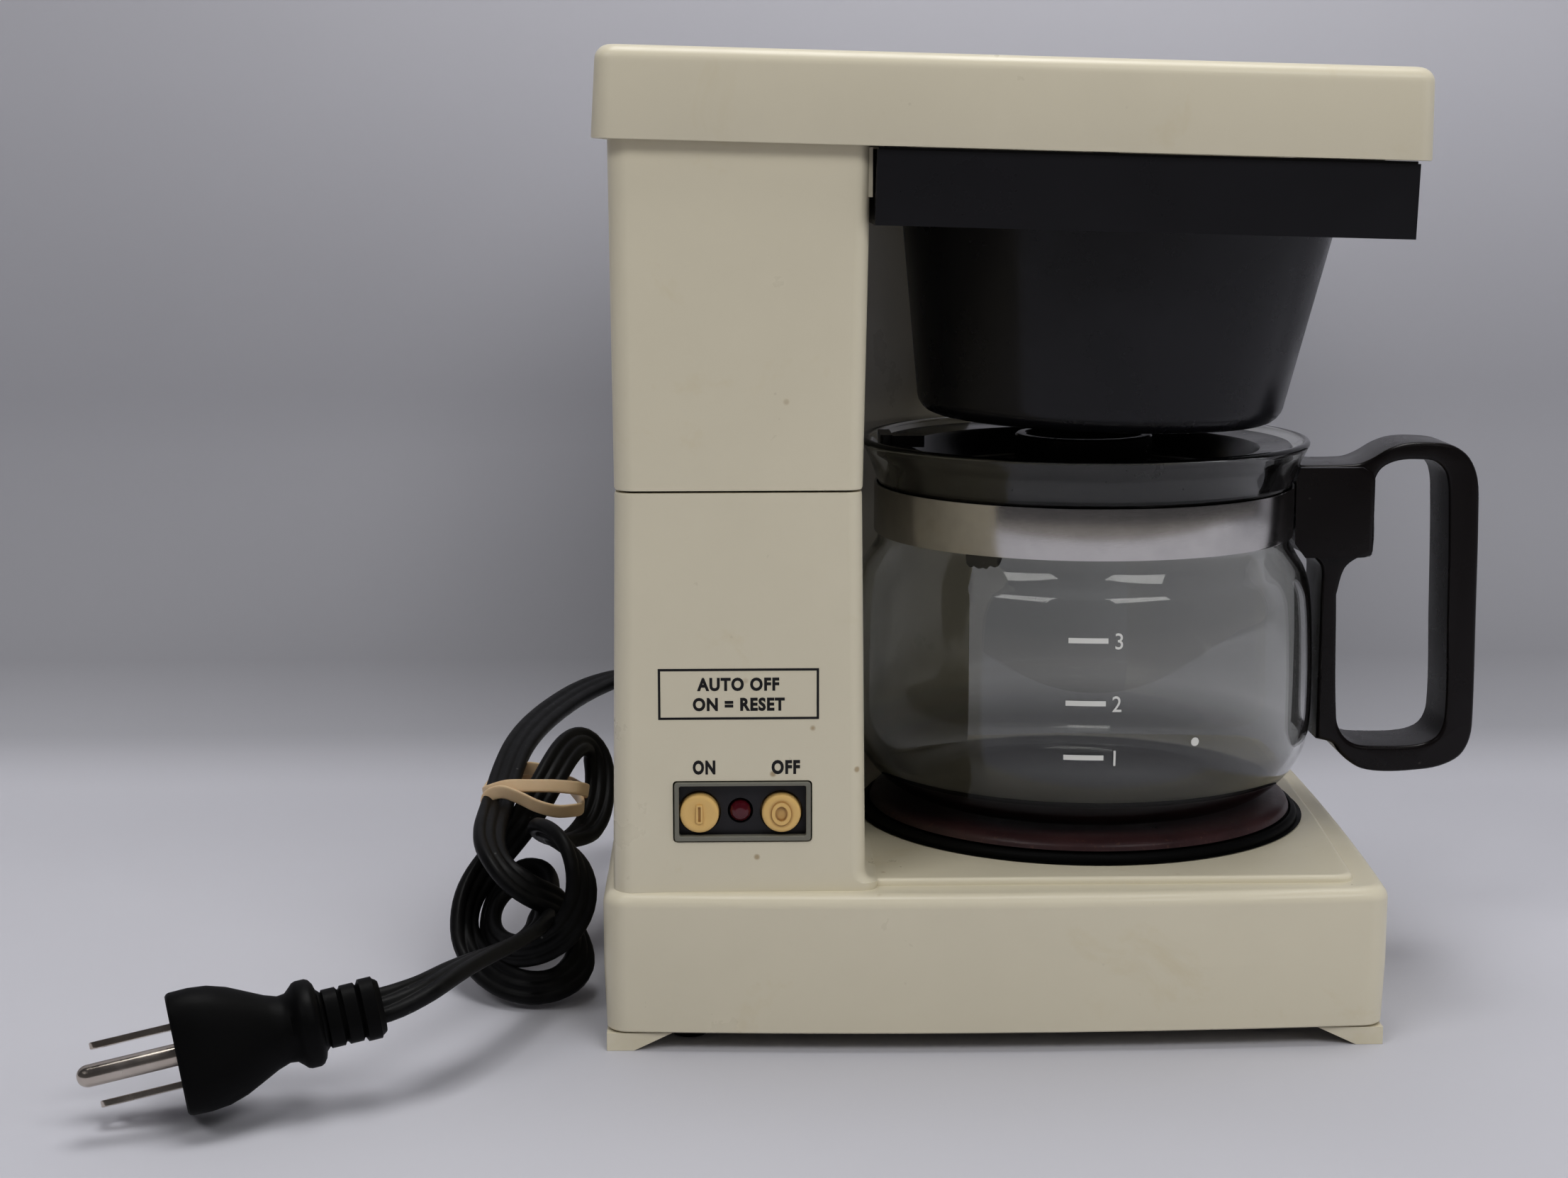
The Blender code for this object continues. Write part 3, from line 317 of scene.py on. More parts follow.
M["maroon"] = mat_maroon()
M["lens"] = mat_lens()
M["glass"] = mat_glass()
M["silicone"] = mat_silicone()
M["cord"] = mat_cord()
M["tanband"] = mat_tanband()

# ------------------------------------------------------------ mesh helpers
def new_obj(name, bm, m=None, body=None, tf=same):
    for v in bm.verts:
        v.co = T(tf(tuple(v.co)))
    bmesh.ops.recalc_face_normals(bm, faces=bm.faces[:])
    me = bpy.data.meshes.new(name)
    bm.to_mesh(me)
    bm.free()
    ob = bpy.data.objects.new(name, me)
    bpy.context.scene.collection.objects.link(ob)
    if m:
        me.materials.append(M[m])
    if body:
        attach(ob, body)
    return ob


def loft(bm, loops, caps=True, ring=False):
    rows = [[bm.verts.new(p) for p in lp] for lp in loops]
    n = len(rows[0])
    pairs = list(zip(rows[:-1], rows[1:]))
    if ring:
        pairs.append((rows[-1], rows[0]))
    for a, b in pairs:
        for i in range(n):
            j = (i + 1) % n
            bm.faces.new((a[i], a[j], b[j], b[i]))
    if caps and not ring:
        bm.faces.new(rows[0][::-1])
        bm.faces.new(rows[-1])
    return rows


def at_z(poly, z):
    return [(x, y, z) for x, y in poly]


def fillet(poly, rad, seg=8):
    out = []
    n = len(poly)
    for i, (p, r) in enumerate(zip(poly, rad)):
        if r <= 0:
            out.append(p)
            continue
        a = Vector(poly[i - 1]) - Vector(p)
        b = Vector(poly[(i + 1) % n]) - Vector(p)
        ang = a.angle(b)
        d = r / math.tan(ang / 2)
        a.normalize()
        b.normalize()
        c = Vector(p) + (a + b).normalized() * (r / math.sin(ang / 2))
        s = Vector(p) + a * d - c
        e = Vector(p) + b * d - c
        t = s.angle_signed(e)
        for k in range(seg + 1):
            w = -t * k / seg
            out.append((c.x + s.x * math.cos(w) - s.y * math.sin(w), c.y + s.x * math.sin(w) + s.y * math.cos(w)))
    return out


def rect(x0, x1, y0, y1, r=0, seg=8):
    p = [(x0, y0), (x1, y0), (x1, y1), (x0, y1)]
    return fillet(p, [r] * 4, seg) if r else p


def box(name, x0, x1, y0, y1, z0, z1, m=None, body=None, tf=same, r=0):
    bm = bmesh.new()
    loft(bm, [at_z(rect(x0, x1, y0, y1, r), z0), at_z(rect(x0, x1, y0, y1, r), z1)])
    return new_obj(name, bm, m, body, tf)


def prism(name, poly, z0, z1, m=None, body=None, tf=same):
    bm = bmesh.new()
    loft(bm, [at_z(poly, z0), at_z(poly, z1)])
    return new_obj(name, bm, m, body, tf)


def disc(c, r, axis, n):
    out = []
    for k in range(n):
        t = 2 * math.pi * k / n
        u, v = r * math.cos(t), r * math.sin(t)
        out.append((c[0] + u, c[1] + v, c[2]) if axis == "z" else (c[0] + u, c[1], c[2] + v) if axis == "y"
                   else (c[0], c[1] + u, c[2] + v))
    return out


def along(c, axis, s):
    return (c[0] + (s if axis == "x" else 0), c[1] + (s if axis == "y" else 0), c[2] + (s if axis == "z" else 0))


def lathe(name, c, prof, m=None, body=None, axis="z", n=48, tf=same):
    """Solid of revolution: prof is (distance along the axis, radius), ends capped."""
    bm = bmesh.new()
    loft(bm, [disc(along(c, axis, s), max(r, 0.01), axis, n) for s, r in prof])
    return new_obj(name, bm, m, body, tf)


def cyl(name, c, r, h, m=None, body=None, axis="z", n=48, r2=None, tf=same):
    return lathe(name, c, [(0, r), (h, r if r2 is None else r2)], m, body, axis, n, tf)


def spline2(pts, k=5):
    """Smooth 2-D curve through the points; a point given three values (r, z, 0) stays a corner."""
    P = [np.array(p[:2], float) for p in pts]
    corner = [len(p) > 2 for p in pts]
    out = []
    for i in range(len(P) - 1):
        p1, p2 = P[i], P[i + 1]
        p0 = P[i - 1] if i > 0 and not corner[i] else 2 * p1 - p2
        p3 = P[i + 2] if i + 2 < len(P) and not corner[i + 1] else 2 * p2 - p1
        d1 = max(np.linalg.norm(p2 - p1), 1e-6)
        m1 = (p2 - p0) / (np.linalg.norm(p1 - p0) + d1 + 1e-9) * d1
        m2 = (p3 - p1) / (np.linalg.norm(p3 - p2) + d1 + 1e-9) * d1
        for t in np.linspace(0, 1, k, endpoint=False):
            h = (2 * t ** 3 - 3 * t ** 2 + 1, t ** 3 - 2 * t ** 2 + t, -2 * t ** 3 + 3 * t ** 2, t ** 3 - t ** 2)
            out.append(tuple(h[0] * p1 + h[1] * m1 + h[2] * p2 + h[3] * m2))
    out.append(tuple(P[-1]))
    return out


def turned(name, prof, cx, cy, m=None, body=None, n=112, tf=same, shift=None, closed=None):
    closed = (abs(prof[0][0] - prof[-1][0]) + abs(prof[0][1] - prof[-1][1]) < 1e-6) if closed is None else closed
    pts = prof[:-1] if closed else prof
    bm = bmesh.new()
    rows = []
    for r, z in pts:
        dx, dy = shift(z) if shift else (0.0, 0.0)
        if r < 1e-6:
            rows.append([bm.verts.new((cx + dx, cy + dy, z))])
        else:
            rows.append([bm.verts.new((cx + dx + r * math.cos(2 * math.pi * i / n),
                                       cy + dy + r * math.sin(2 * math.pi * i / n), z)) for i in range(n)])
    pairs = list(zip(rows[:-1], rows[1:]))
    if closed:
        pairs.append((rows[-1], rows[0]))
    for a, b in pairs:
        for i in range(n):
            j = (i + 1) % n
            if len(a) == 1 and len(b) == 1:
                continue
            if len(a) == 1:
                bm.faces.new((a[0], b[j], b[i]))
            elif len(b) == 1:
                bm.faces.new((a[i], a[j], b[0]))
            else:
                bm.faces.new((a[i], a[j], b[j], b[i]))
    return new_obj(name, bm, m, body, tf)


def boole(ob, others, op):
    for o in others:
        md = ob.modifiers.new("b", "BOOLEAN")
        md.operation = op
        md.solver = "EXACT"
        md.object = o
        bpy.context.view_layer.update()
        dg = bpy.context.evaluated_depsgraph_get()
        me = bpy.data.meshes.new_from_object(ob.evaluated_get(dg))
        ob.modifiers.clear()
        old = ob.data
        ob.data = me
        bpy.data.meshes.remove(old)
        bpy.data.objects.remove(o, do_unlink=True)
    return ob


def union(ob, *others):
    return boole(ob, others, "UNION")


def cut(ob, *others):
    return boole(ob, others, "DIFFERENCE")


def smooth(ob, angle=32):
    ob.data.shade_smooth()
    ob.data.set_sharp_from_angle(angle=math.radians(angle))
    return ob


def bake(ob):
    bpy.context.view_layer.update()
    dg = bpy.context.evaluated_depsgraph_get()
    me = bpy.data.meshes.new_from_object(ob.evaluated_get(dg))
    ob.modifiers.clear()
    old = ob.data
    ob.data = me
    bpy.data.meshes.remove(old)
    return ob


def soften(ob, width=0.5, seg=3, angle=35, pick=None, clean=True):
    """Round the sharp edges. pick(a, b, concave) may give another width in mm, or 0."""
    bm = bmesh.new()
    bm.from_mesh(ob.data)
    bmesh.ops.remove_doubles(bm, verts=bm.verts, dist=2e-6)
    if clean:
        bmesh.ops.dissolve_limit(bm, angle_limit=math.radians(0.4), use_dissolve_boundaries=False,
                                 verts=bm.verts[:], edges=bm.edges[:])
    lay = bm.edges.layers.float.get("bevel_weight_edge") or bm.edges.layers.float.new("bevel_weight_edge")
    big = width
    sel = []
    for e in bm.edges:
        e[lay] = 0.0
        if len(e.link_faces) == 2 and e.calc_face_angle(0) > math.radians(angle):
            w = width
            if pick:
                a = [v.co for v in e.verts]
                d = lambda p: (p.x * 1000 + OX, p.y * 1000 + OY, p.z * 1000)
                w = pick(d(a[0]), d(a[1]), not e.is_convex)
                if w is None:
                    w = width
            sel.append((e, w))
            big = max(big, w)
    for e, w in sel:
        e[lay] = w / big
    bm.to_mesh(ob.data)
    bm.free()
    md = ob.modifiers.new("bev", "BEVEL")
    md.width = big / 1000.0
    md.segments = seg
    md.limit_method = "WEIGHT"
    md.use_clamp_overlap = True
    md.miter_outer = "MITER_ARC"
    bake(ob)
    ob.data.shade_smooth()
    ob.data.set_sharp_from_angle(angle=math.radians(38))
    wn = ob.modifiers.new("wn", "WEIGHTED_NORMAL")
    wn.keep_sharp = True
    bake(ob)
    return ob


# ------------------------------------------------------------ plans
def base_outline(d=0.0, seg=8):
    cx, hw = 0.5 * (BASE_L + BASE_R), 0.5 * (BASE_R - BASE_L)
    N = 24
    front = [(BASE_L + d, d)]
    for k in range(1, N):
        x = BASE_L + (BASE_R - BASE_L) * k / N
        front.append((x, -FRONT_BOW * (1 - ((x - cx) / hw) ** 2) + d))
    front.append((BASE_R - d, d))
    side = [(BASE_R + SIDE_BOW * (1 - ((y - 110) / 110.0) ** 2) - d, y) for y in range(15, 136, 15)]
    rear_x = BASE_R + SIDE_BOW * (1 - (40 / 110.0) ** 2) - d
    poly = front + side + [(rear_x, BASE_D - d), (BASE_L + d, BASE_D - d)]
    rad = [max(6 - d, 1.5)] + [0] * (N - 1) + [max(6 - d, 1.5)] + [0] * len(side) + [max(8 - d, 1.5)] * 2
    return fillet(poly, rad, seg)


def col_outline(xl, xr, d=0.0, xe=97.0):
    R = BAY_R + d
    xl, xr, xe = xl + d, xr - d, xe - d
    a0, a1 = math.acos((xr - CAR_X) / R), math.acos((xe - CAR_X) / R)
    arc = []
    for k in range(32):
        a = -a0 - (k / 31.0) * (2 * math.pi - a0 - a1)
        arc.append((CAR_X + R * math.cos(a), CAR_Y + R * math.sin(a)))
    poly = [(xl, COL_F + d), (xr, COL_F + d)] + arc + [(xe, COL_R - d), (xl, COL_R - d)]
    rad = [max(4.5 - d, 1.5), max(3.5 - d, 1.2)] + [0] * 32 + [3.0, max(7 - d, 1.5)]
    return fillet(poly, rad, 8)


def col_loop(xl, xr, d, z, lean=None):
    out = []
    for x, y in col_outline(xl, xr, d):
        zz = z if lean is None else lean - (x - HPX) * math.tan(HEAD_TILT)
        out.append((x, y, zz))
    return out


def arc_steps(d0, z0, d1, z1, n=6):
    """Quarter-round from (d0, z0) up to (d1, z1): inset and height pairs."""
    return [(d0 + (d1 - d0) * (1 - math.cos(t)), z0 + (z1 - z0) * math.sin(t))
            for t in [math.pi / 2 * k / n for k in range(n + 1)]]

# ------------------------------------------------------------ lower housing
def lower_housing():
    bm = bmesh.new()
    rows = [(0.9, SKIRT_Z), (0.55, SKIRT_Z + 0.35), (0.4, 9.0), (0.0, 20.0)] + arc_steps(0.0, 35.0, 3.2, DECK_Z, 7)
    loft(bm, [at_z(base_outline(d), z) for d, z in rows])
    ob = new_obj("housing_lower", bm, "cream", "machine")
    plat = [(40, 5.2), (177.3, 5.2), (180.6, 60), (182.2, 110), (182.0, 144), (40, 144)]
    bm = bmesh.new()
    loops = []
    for d, z in [(0.0, 37.0), (0.0, 38.6)] + arc_steps(0.0, 38.7, 1.2, PLAT_Z, 4):
        pp = [(40 + d, 5.2 + d), (177.3 - d, 5.2 + d), (180.6 - d, 60), (182.2 - d, 110), (182.0 - d, 144 - d), (40 + d, 144 - d)]
        loops.append(at_z(fillet(pp, [1.5, 4, 0, 0, 5, 1.5]), z))
    loft(bm, loops)
    platform = new_obj("t1", bm)
    bm = bmesh.new()
    rows = [(3.1, 64.3, 36.5)]
    R = 3.0                                     # hollow where the column grows out of the deck
    for k in range(9):
        a = math.pi / 2 * k / 8
        rows.append((3.1, 61.9 + R * (1 - math.sin(a)), PLAT_Z + 0.05 + R * (1 - math.cos(a))))
    rows += [(3.25, 61.8, 52.0), (4.4, 60.9, SEAM_Z - 0.5), (4.6, 60.7, SEAM_Z)]
    loft(bm, [col_loop(a, b, 0, z) for a, b, z in rows])
    union(ob, platform, new_obj("t2", bm))
    bm = bmesh.new()
    loft(bm, [at_z(base_outline(2.6), 2.0), at_z(base_outline(2.6), 34.6), at_z(base_outline(4.2), 35.9)])
    c1 = new_obj("c1", bm)
    bm = bmesh.new()
    loft(bm, [col_loop(3.1, 61.9, WALL, 38.6), col_loop(3.1, 61.9, WALL, 44.0), col_loop(4.4, 60.9, WALL, 135.0)])
    c2 = new_obj("c2", bm)
    cut(ob, c1, c2, cyl("c3", (CAR_X, CAR_Y, 30), 50.0, 20, n=96))
    win = prism("c4", [(x, y) for x, y in rect(17.2, 49.4, 50.2, 64.8, 0.9, 5)], -3, 8,
                tf=lambda p: (p[0], p[2], p[1]))
    cut(ob, win, cyl("c5", (22, 140, 55), 5.4, 14, axis="y", n=32),
        box("c6", 11.0, 48.0, 30.0, 120.0, 30, 44, r=4), cyl("c7", (70.2, 136.9, 30), 6.2, 14, n=24))
    for x, y in SCREWS:
        union(ob, cyl("b", (x, y, 6.8), 3.6, 30.2, n=20))
    for x, y in SCREWS:
        cut(ob, cyl("b", (x, y, 5.0), 1.5, 15.0, n=16))

    def pick(a, b, concave):
        y, z = min(a[1], b[1]), 0.5 * (a[2] + b[2])
        if concave and y < 145 and 37.5 < z < 41 and (a[1] > 3 or a[0] > 60):
            return 0.5
        if y < 6 and 49 < z < 66 and 16 < a[0] < 51:
            return 0.32
        if concave:
            return 0.25
        return 0.3
    soften(ob, 0.3, 2, 40, pick)
    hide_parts("lower_housing")
    return ob


def fixed_lugs(xc):
    out = []
    for x0 in (xc - 9.0, xc + 5.4):
        out.append(box("l", x0, x0 + 3.6, 146.2, HINGE_Y, 201.5, HINGE_Z + 2.0, tf=H))
        out.append(cyl("l", (x0 + 0.1, HINGE_Y, HINGE_Z), 2.45, 3.4, axis="x", n=28, tf=H))
    return out


def upper_column():
    LEAN = 213.3
    bm = bmesh.new()
    loft(bm, [col_loop(4.6, 60.8, 0, SEAM_Z + 0.5), col_loop(4.35, 61.05, 0, SEAM_Z + 1.0),
              col_loop(3.75, 62.7, 0, 0, LEAN), col_loop(3.75, 62.7, WALL, 0, LEAN),
              col_loop(4.4, 61.0, WALL, SEAM_Z + 0.5)], ring=True)
    uc = new_obj("column_upper", bm, "cream", "machine")
    union(uc, *fixed_lugs(HX[0]))
    cut(uc, cyl("c", (HX[0] - 12, HINGE_Y, HINGE_Z), 1.5, 24, axis="x", n=20, tf=H))
    union(uc, box("tab", 62.0, 63.0, 3.4, 40.0, 198.0, 209.0))
    soften(uc, 0.25, 2, 40)
    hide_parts("upper_column")


def top_cover():
    def cov(d, z):
        return at_z(rect(0.3 + d, 187.9 - d, -1.6 + d, 150.6 - d, max(4.2 - 0.5 * d, 1.6), 8), z)
    bm = bmesh.new()
    rows = [(2.9, 228.0), (2.3, 211.0), (2.0, 210.35), (1.6, 210.2), (0.35, 210.2), (0.1, 210.3), (0.0, 210.6), (0.5, 226.8)]
    rows += arc_steps(0.52, 227.4, 3.9, 230.75, 7)
    rows += [(12.0, 230.87), (40.0, 230.9)]
    rows = [(2.9, 228.0)] + rows[1:]
    loft(bm, [cov(40.0, 228.7), cov(6.0, 228.7), cov(3.6, 228.5)] + [cov(d, z) for d, z in rows])
    tc = new_obj("cover_top", bm, "cream", "cover", tf=H)
    for xc in HX:
        union(tc, box("l", xc - 5, xc + 5, 149.6, HINGE_Y + 2.2, HINGE_Z, 216.5, tf=H),
              cyl("l", (xc - 4.9, HINGE_Y, HINGE_Z), 2.45, 9.8, axis="x", n=28, tf=H))
    for xc in HX:
        cut(tc, cyl("c", (xc - 7, HINGE_Y, HINGE_Z), 1.5, 14, axis="x", n=20, tf=H))
    smooth(tc, 40)
    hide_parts("top_cover")


def head_frame():
    hf = box("frame_head", 4.4, 184.0, 2.4, 146.4, 213.9, 215.9, "cream", "machine", tf=H, r=3)
    parts = [box("r", 98.2, 183.2, 144.6, 146.8, 199.5, 214.6, tf=H), box("r", 181.9, 183.7, 3.5, 145.5, 210.6, 214.9, tf=H)]
    for sgn in (-1, 1):
        xw = sorted((BASK_X + sgn * 51.6, BASK_X + sgn * 53.6))
        xf = sorted((BASK_X + sgn * 53.0, BASK_X + sgn * 57.6))
        parts.append(box("r", xw[0], xw[1], 4.0, 88.0, 203.5, 214.3, tf=H))
        parts.append(box("r", xf[0], xf[1], 4.3, 87.7, 203.3, 206.0, tf=H))
    union(hf, *parts, *fixed_lugs(HX[1]))
    cut(hf, box("c", 9.5, 50.5, 12, 118, 210, 220, tf=H, r=4), cyl("c", (70.3, 137.6, 208), 6.4, 12, n=28, tf=H),
        cyl("c", (BASK_X, BASK_Y, 208), 3.8, 12, n=28, tf=H),
        cyl("c", (HX[1] - 12, HINGE_Y, HINGE_Z), 1.5, 24, axis="x", n=20, tf=H))
    soften(hf, 0.3, 2, 40)
    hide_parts("head_frame")


# ------------------------------------------------------------ brew basket
CUP_X = 125.0


def tray_plan(d, seg=48):
    x0, x1 = 63.8 + d, 184.9 - d
    xm, R = 0.5 * (x0 + x1), 0.5 * (x1 - x0)
    pts = [(x0, d), (x1, d)]
    for k in range(seg + 1):
        a = math.pi * k / seg
        pts.append((xm + R * math.cos(a), BASK_Y + R * math.sin(a)))
    return pts


def cup_shift(z):
    return ((z - 145.0) / 48.0 * 2.45, 0.0)


def brew_basket():
    bb = prism("basket_brew", tray_plan(0), 192.8, 209.5, "flange", "basket", tf=H)
    cut(bb, prism("c", tray_plan(1.8), 194.8, 215.0, tf=H), box("c", 55.0, 195.0, 66.0, 140.0, 199.0, 216.0, tf=H),
        cyl("c", (CUP_X + 2.45, BASK_Y, 188.0), 50.9, 14, n=96, tf=H))
    prof = [(53.3, 194.0)] + [(53.3 - 7.5 * t, 194.0 - 43.3 * t) for t in (0.25, 0.5, 0.75, 1.0)]
    prof += [(45.65, 149.6), (45.2, 148.2), (44.3, 146.9), (43.1, 145.9), (41.6, 145.3), (40.0, 145.0), (12.0, 145.0), (4.3, 145.0),
             (4.0, 145.3), (4.0, 147.0), (39.6, 147.0), (41.6, 147.6), (43.0, 149.0), (43.9, 151.5), (47.6, 172.0), (51.4, 194.0),
             (53.3, 194.0)]
    cup = turned("c", prof, CUP_X, BASK_Y, n=96, tf=H, shift=cup_shift)
    union(bb, cup)
    # a low black lip inside the drawer's front edge, under the cover's skirt: a dark piece set in the gap to stand in
    # for the shade there
    union(bb, box("w", 64.2, 184.5, 0.9, 2.4, 208.6, 210.05, tf=H))
    union(bb, box("w", 64.7, 70.0, 3.5, 65.2, 206.8, 208.8, tf=H), box("w", 178.4, 184.0, 3.5, 65.2, 206.8, 208.8, tf=H))

    def pick(a, b, concave):
        if concave:
            return 0.45
        return 0.55 if min(a[1], b[1]) < 3 else 0.35
    soften(bb, 0.5, 3, 40, pick)
    bb.data.materials.append(M["black"])
    # the drawer front's black, lighter in colour than the cup's, carries painted sheen
    for p in bb.data.polygons:                    # the cup is a shade glossier than the drawer front
        if p.center.z * 1000 < 189.5:
            p.material_index = 1
    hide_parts("brew_basket")


lower_housing()
upper_column()
top_cover()
head_frame()
brew_basket()

# ------------------------------------------------------------ warming plate, gasket, base plate and feet
wp = turned("plate_warming", spline2([(0, 45.6, 0), (40, 45.6), (49.0, 45.55), (51.6, 45.15), (53.3, 44.2), (54.0, 42.7, 0)], 4) +
            [(52.6, 42.7), (51.6, 43.7), (49.0, 44.1), (0, 44.1)], CAR_X, CAR_Y, "maroon", "machine", n=128)
smooth(wp, 40)
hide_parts("warming_plate")
pg = turned("gasket_ring", [(56.1, 40.3), (56.2, 40.9), (56.0, 41.5), (55.6, 42.1), (55.2, 42.35), (54.6, 42.35), (54.1, 41.9),
                            (53.4, 41.9), (52.8, 42.3), (51.2, 42.3), (51.2, 40.3), (57.4, 40.3)], CAR_X, CAR_Y, "rubber",
            "machine", n=128)
smooth(pg, 40)
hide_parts("plate_gasket")

bm = bmesh.new()
loft(bm, [at_z(base_outline(3.0), 4.0), at_z(base_outline(3.0), 6.3)])
bp = new_obj("plate_base", bm, "cream", "machine")
wedges = []
for xa, sx in ((1.2, 1), (184.2, -1)):
    for ya, sy in ((0.8, 1), (149.2, -1)):
        bm = bmesh.new()
        a, b, c = xa, xa + sx * 6.4, xa + sx * 15.5
        y0, y1 = sorted((ya, ya + sy * 8.5))
        loft(bm, [[(a, y, 0.0), (b, y, 0.0), (c, y, 4.3), (a, y, 4.3)] for y in (y0, y1)])
        wedges.append(new_obj("w", bm))
union(bp, *wedges)
for x, y in SCREWS:
    cut(bp, cyl("c", (x, y, 0), 1.7, 10, n=20))
soften(bp, 0.35, 2, 30)
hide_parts("base_plate")
for nm, (x, y) in (("front_left", (20.5, 14)), ("front_right", (161, 24)), ("rear_right", (161, 122)), ("rear_left", (24, 120))):
    ft = lathe("foot_" + nm, (x, y, 0.0), [(0, 3.9), (0.15, 4.35), (0.5, 4.6), (3.2, 4.95), (3.7, 5.0)], "rubber", "machine", n=48)
    smooth(ft)
    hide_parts("rubber_foot_" + nm)

# ------------------------------------------------------------ carafe
def profile_radius(prof, z):
    """Outer radius of the carafe at height z, from the ordered outer profile."""
    for (r0, z0), (r1, z1) in zip(prof[:-1], prof[1:]):
        if z0 <= z <= z1 and z1 > z0:
            return r0 + (r1 - r0) * (z - z0) / (z1 - z0)
    return prof[-1][0]


OUT = spline2([(40.5, 46.3), (45.5, 46.9), (50.0, 49.2), (54.2, 53.4), (56.8, 57.6), (58.3, 63.0), (58.8, 70.0), (58.6, 85.0),
               (57.7, 98.5), (56.1, 104.2), (54.0, 107.8), (52.5, 110.3), (52.1, 112.6), (52.1, 124.8), (53.0, 127.6),
               (54.7, 132.0), (56.2, 135.0)], 4)
INN = spline2([(54.0, 134.4), (53.1, 132.4), (51.4, 128.2), (50.5, 125.0), (50.5, 112.3), (51.0, 109.5), (52.8, 106.3),
               (54.6, 103.5), (56.1, 98.0), (57.0, 85.0), (57.2, 70.0), (56.7, 63.4), (55.3, 58.4), (52.9, 54.4),
               (49.1, 50.7), (45.0, 48.6), (40.3, 48.0)], 4)
rim = [(56.2 + 0.0, 135.0), (56.6, 135.7), (56.6, 136.3), (56.2, 136.8), (55.6, 137.0), (55.0, 136.7), (54.5, 135.8), (54.0, 134.4)]
foot = [(0, 47.1), (18, 47.0), (30, 46.8), (36, 46.5)]
cg = turned("carafe_glass_body", foot + OUT[:-1] + rim + INN[1:] + [(30, 48.1), (16, 48.4), (0, 48.5)], CAR_X, CAR_Y, "glass",
            "carafe", n=160)
smooth(cg, 60)
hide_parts("carafe_glass")

cb = turned("carafe_band_steel", [(53.15, 113.2), (53.15, 124.9), (53.05, 125.2), (52.5, 125.2), (52.5, 112.9), (53.05, 112.9),
                                  (53.15, 113.2)], CAR_X, CAR_Y, "band", "carafe", n=160)
smooth(cb, 40)
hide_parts("carafe_band")

OUTER = [(166.0, 130.1), (166.0, 106.6), (178.5, 106.6), (180.4, 104.0), (180.5, 98.0), (180.5, 59.6), (184.6, 58.4),
         (186.4, 56.0), (189.0, 53.6), (192.5, 51.6), (198.3, 50.8), (206.0, 51.1), (212.5, 52.1), (217.7, 54.8), (220.2, 59.5),
         (220.7, 66.0), (220.4, 90.0), (219.9, 118.0), (219.3, 126.5), (217.0, 131.8), (213.0, 134.8), (208.0, 135.7),
         (201.0, 135.6), (196.5, 134.2), (192.0, 131.6), (188.0, 130.3)]
INNER = [(184.5, 97.0), (186.3, 103.6), (189.5, 106.3), (193.2, 107.2), (193.3, 126.0), (195.0, 129.3), (199.0, 131.1),
         (204.5, 131.4), (208.5, 130.7), (211.3, 127.5), (212.2, 120.0), (213.0, 90.0), (213.4, 65.0), (211.5, 60.0),
         (206.5, 57.9), (196.0, 57.6), (190.5, 58.2), (187.3, 60.6), (185.6, 65.0)]


def round_loop(pts, keep=(), k=4):
    """Closed smooth curve through the points; the points in keep stay sharp."""
    n = len(pts)
    P = [np.array(p, float) for p in pts]
    out = []
    for i in range(n):
        p0, p1, p2, p3 = P[i - 1], P[i], P[(i + 1) % n], P[(i + 2) % n]
        if i in keep:
            p0 = 2 * p1 - p2
        if (i + 1) % n in keep:
            p3 = 2 * p2 - p1
        d1 = max(np.linalg.norm(p2 - p1), 1e-6)
        m1 = (p2 - p0) / (np.linalg.norm(p1 - p0) + d1) * d1
        m2 = (p3 - p1) / (np.linalg.norm(p3 - p2) + d1) * d1
        kk = k if d1 < 12 else 2 * k
        for t in np.linspace(0, 1, kk, endpoint=False):
            h = (2 * t ** 3 - 3 * t ** 2 + 1, t ** 3 - 2 * t ** 2 + t, -2 * t ** 3 + 3 * t ** 2, t ** 3 - t ** 2)
            out.append(tuple(h[0] * p1 + h[1] * m1 + h[2] * p2 + h[3] * m2))
    return out


def side_prism(name, poly, y0, y1, m=None, body=None):
    bm = bmesh.new()
    loft(bm, [[(x, y, z) for x, z in poly] for y in (y0, y1)])
    return new_obj(name, bm, m, body)


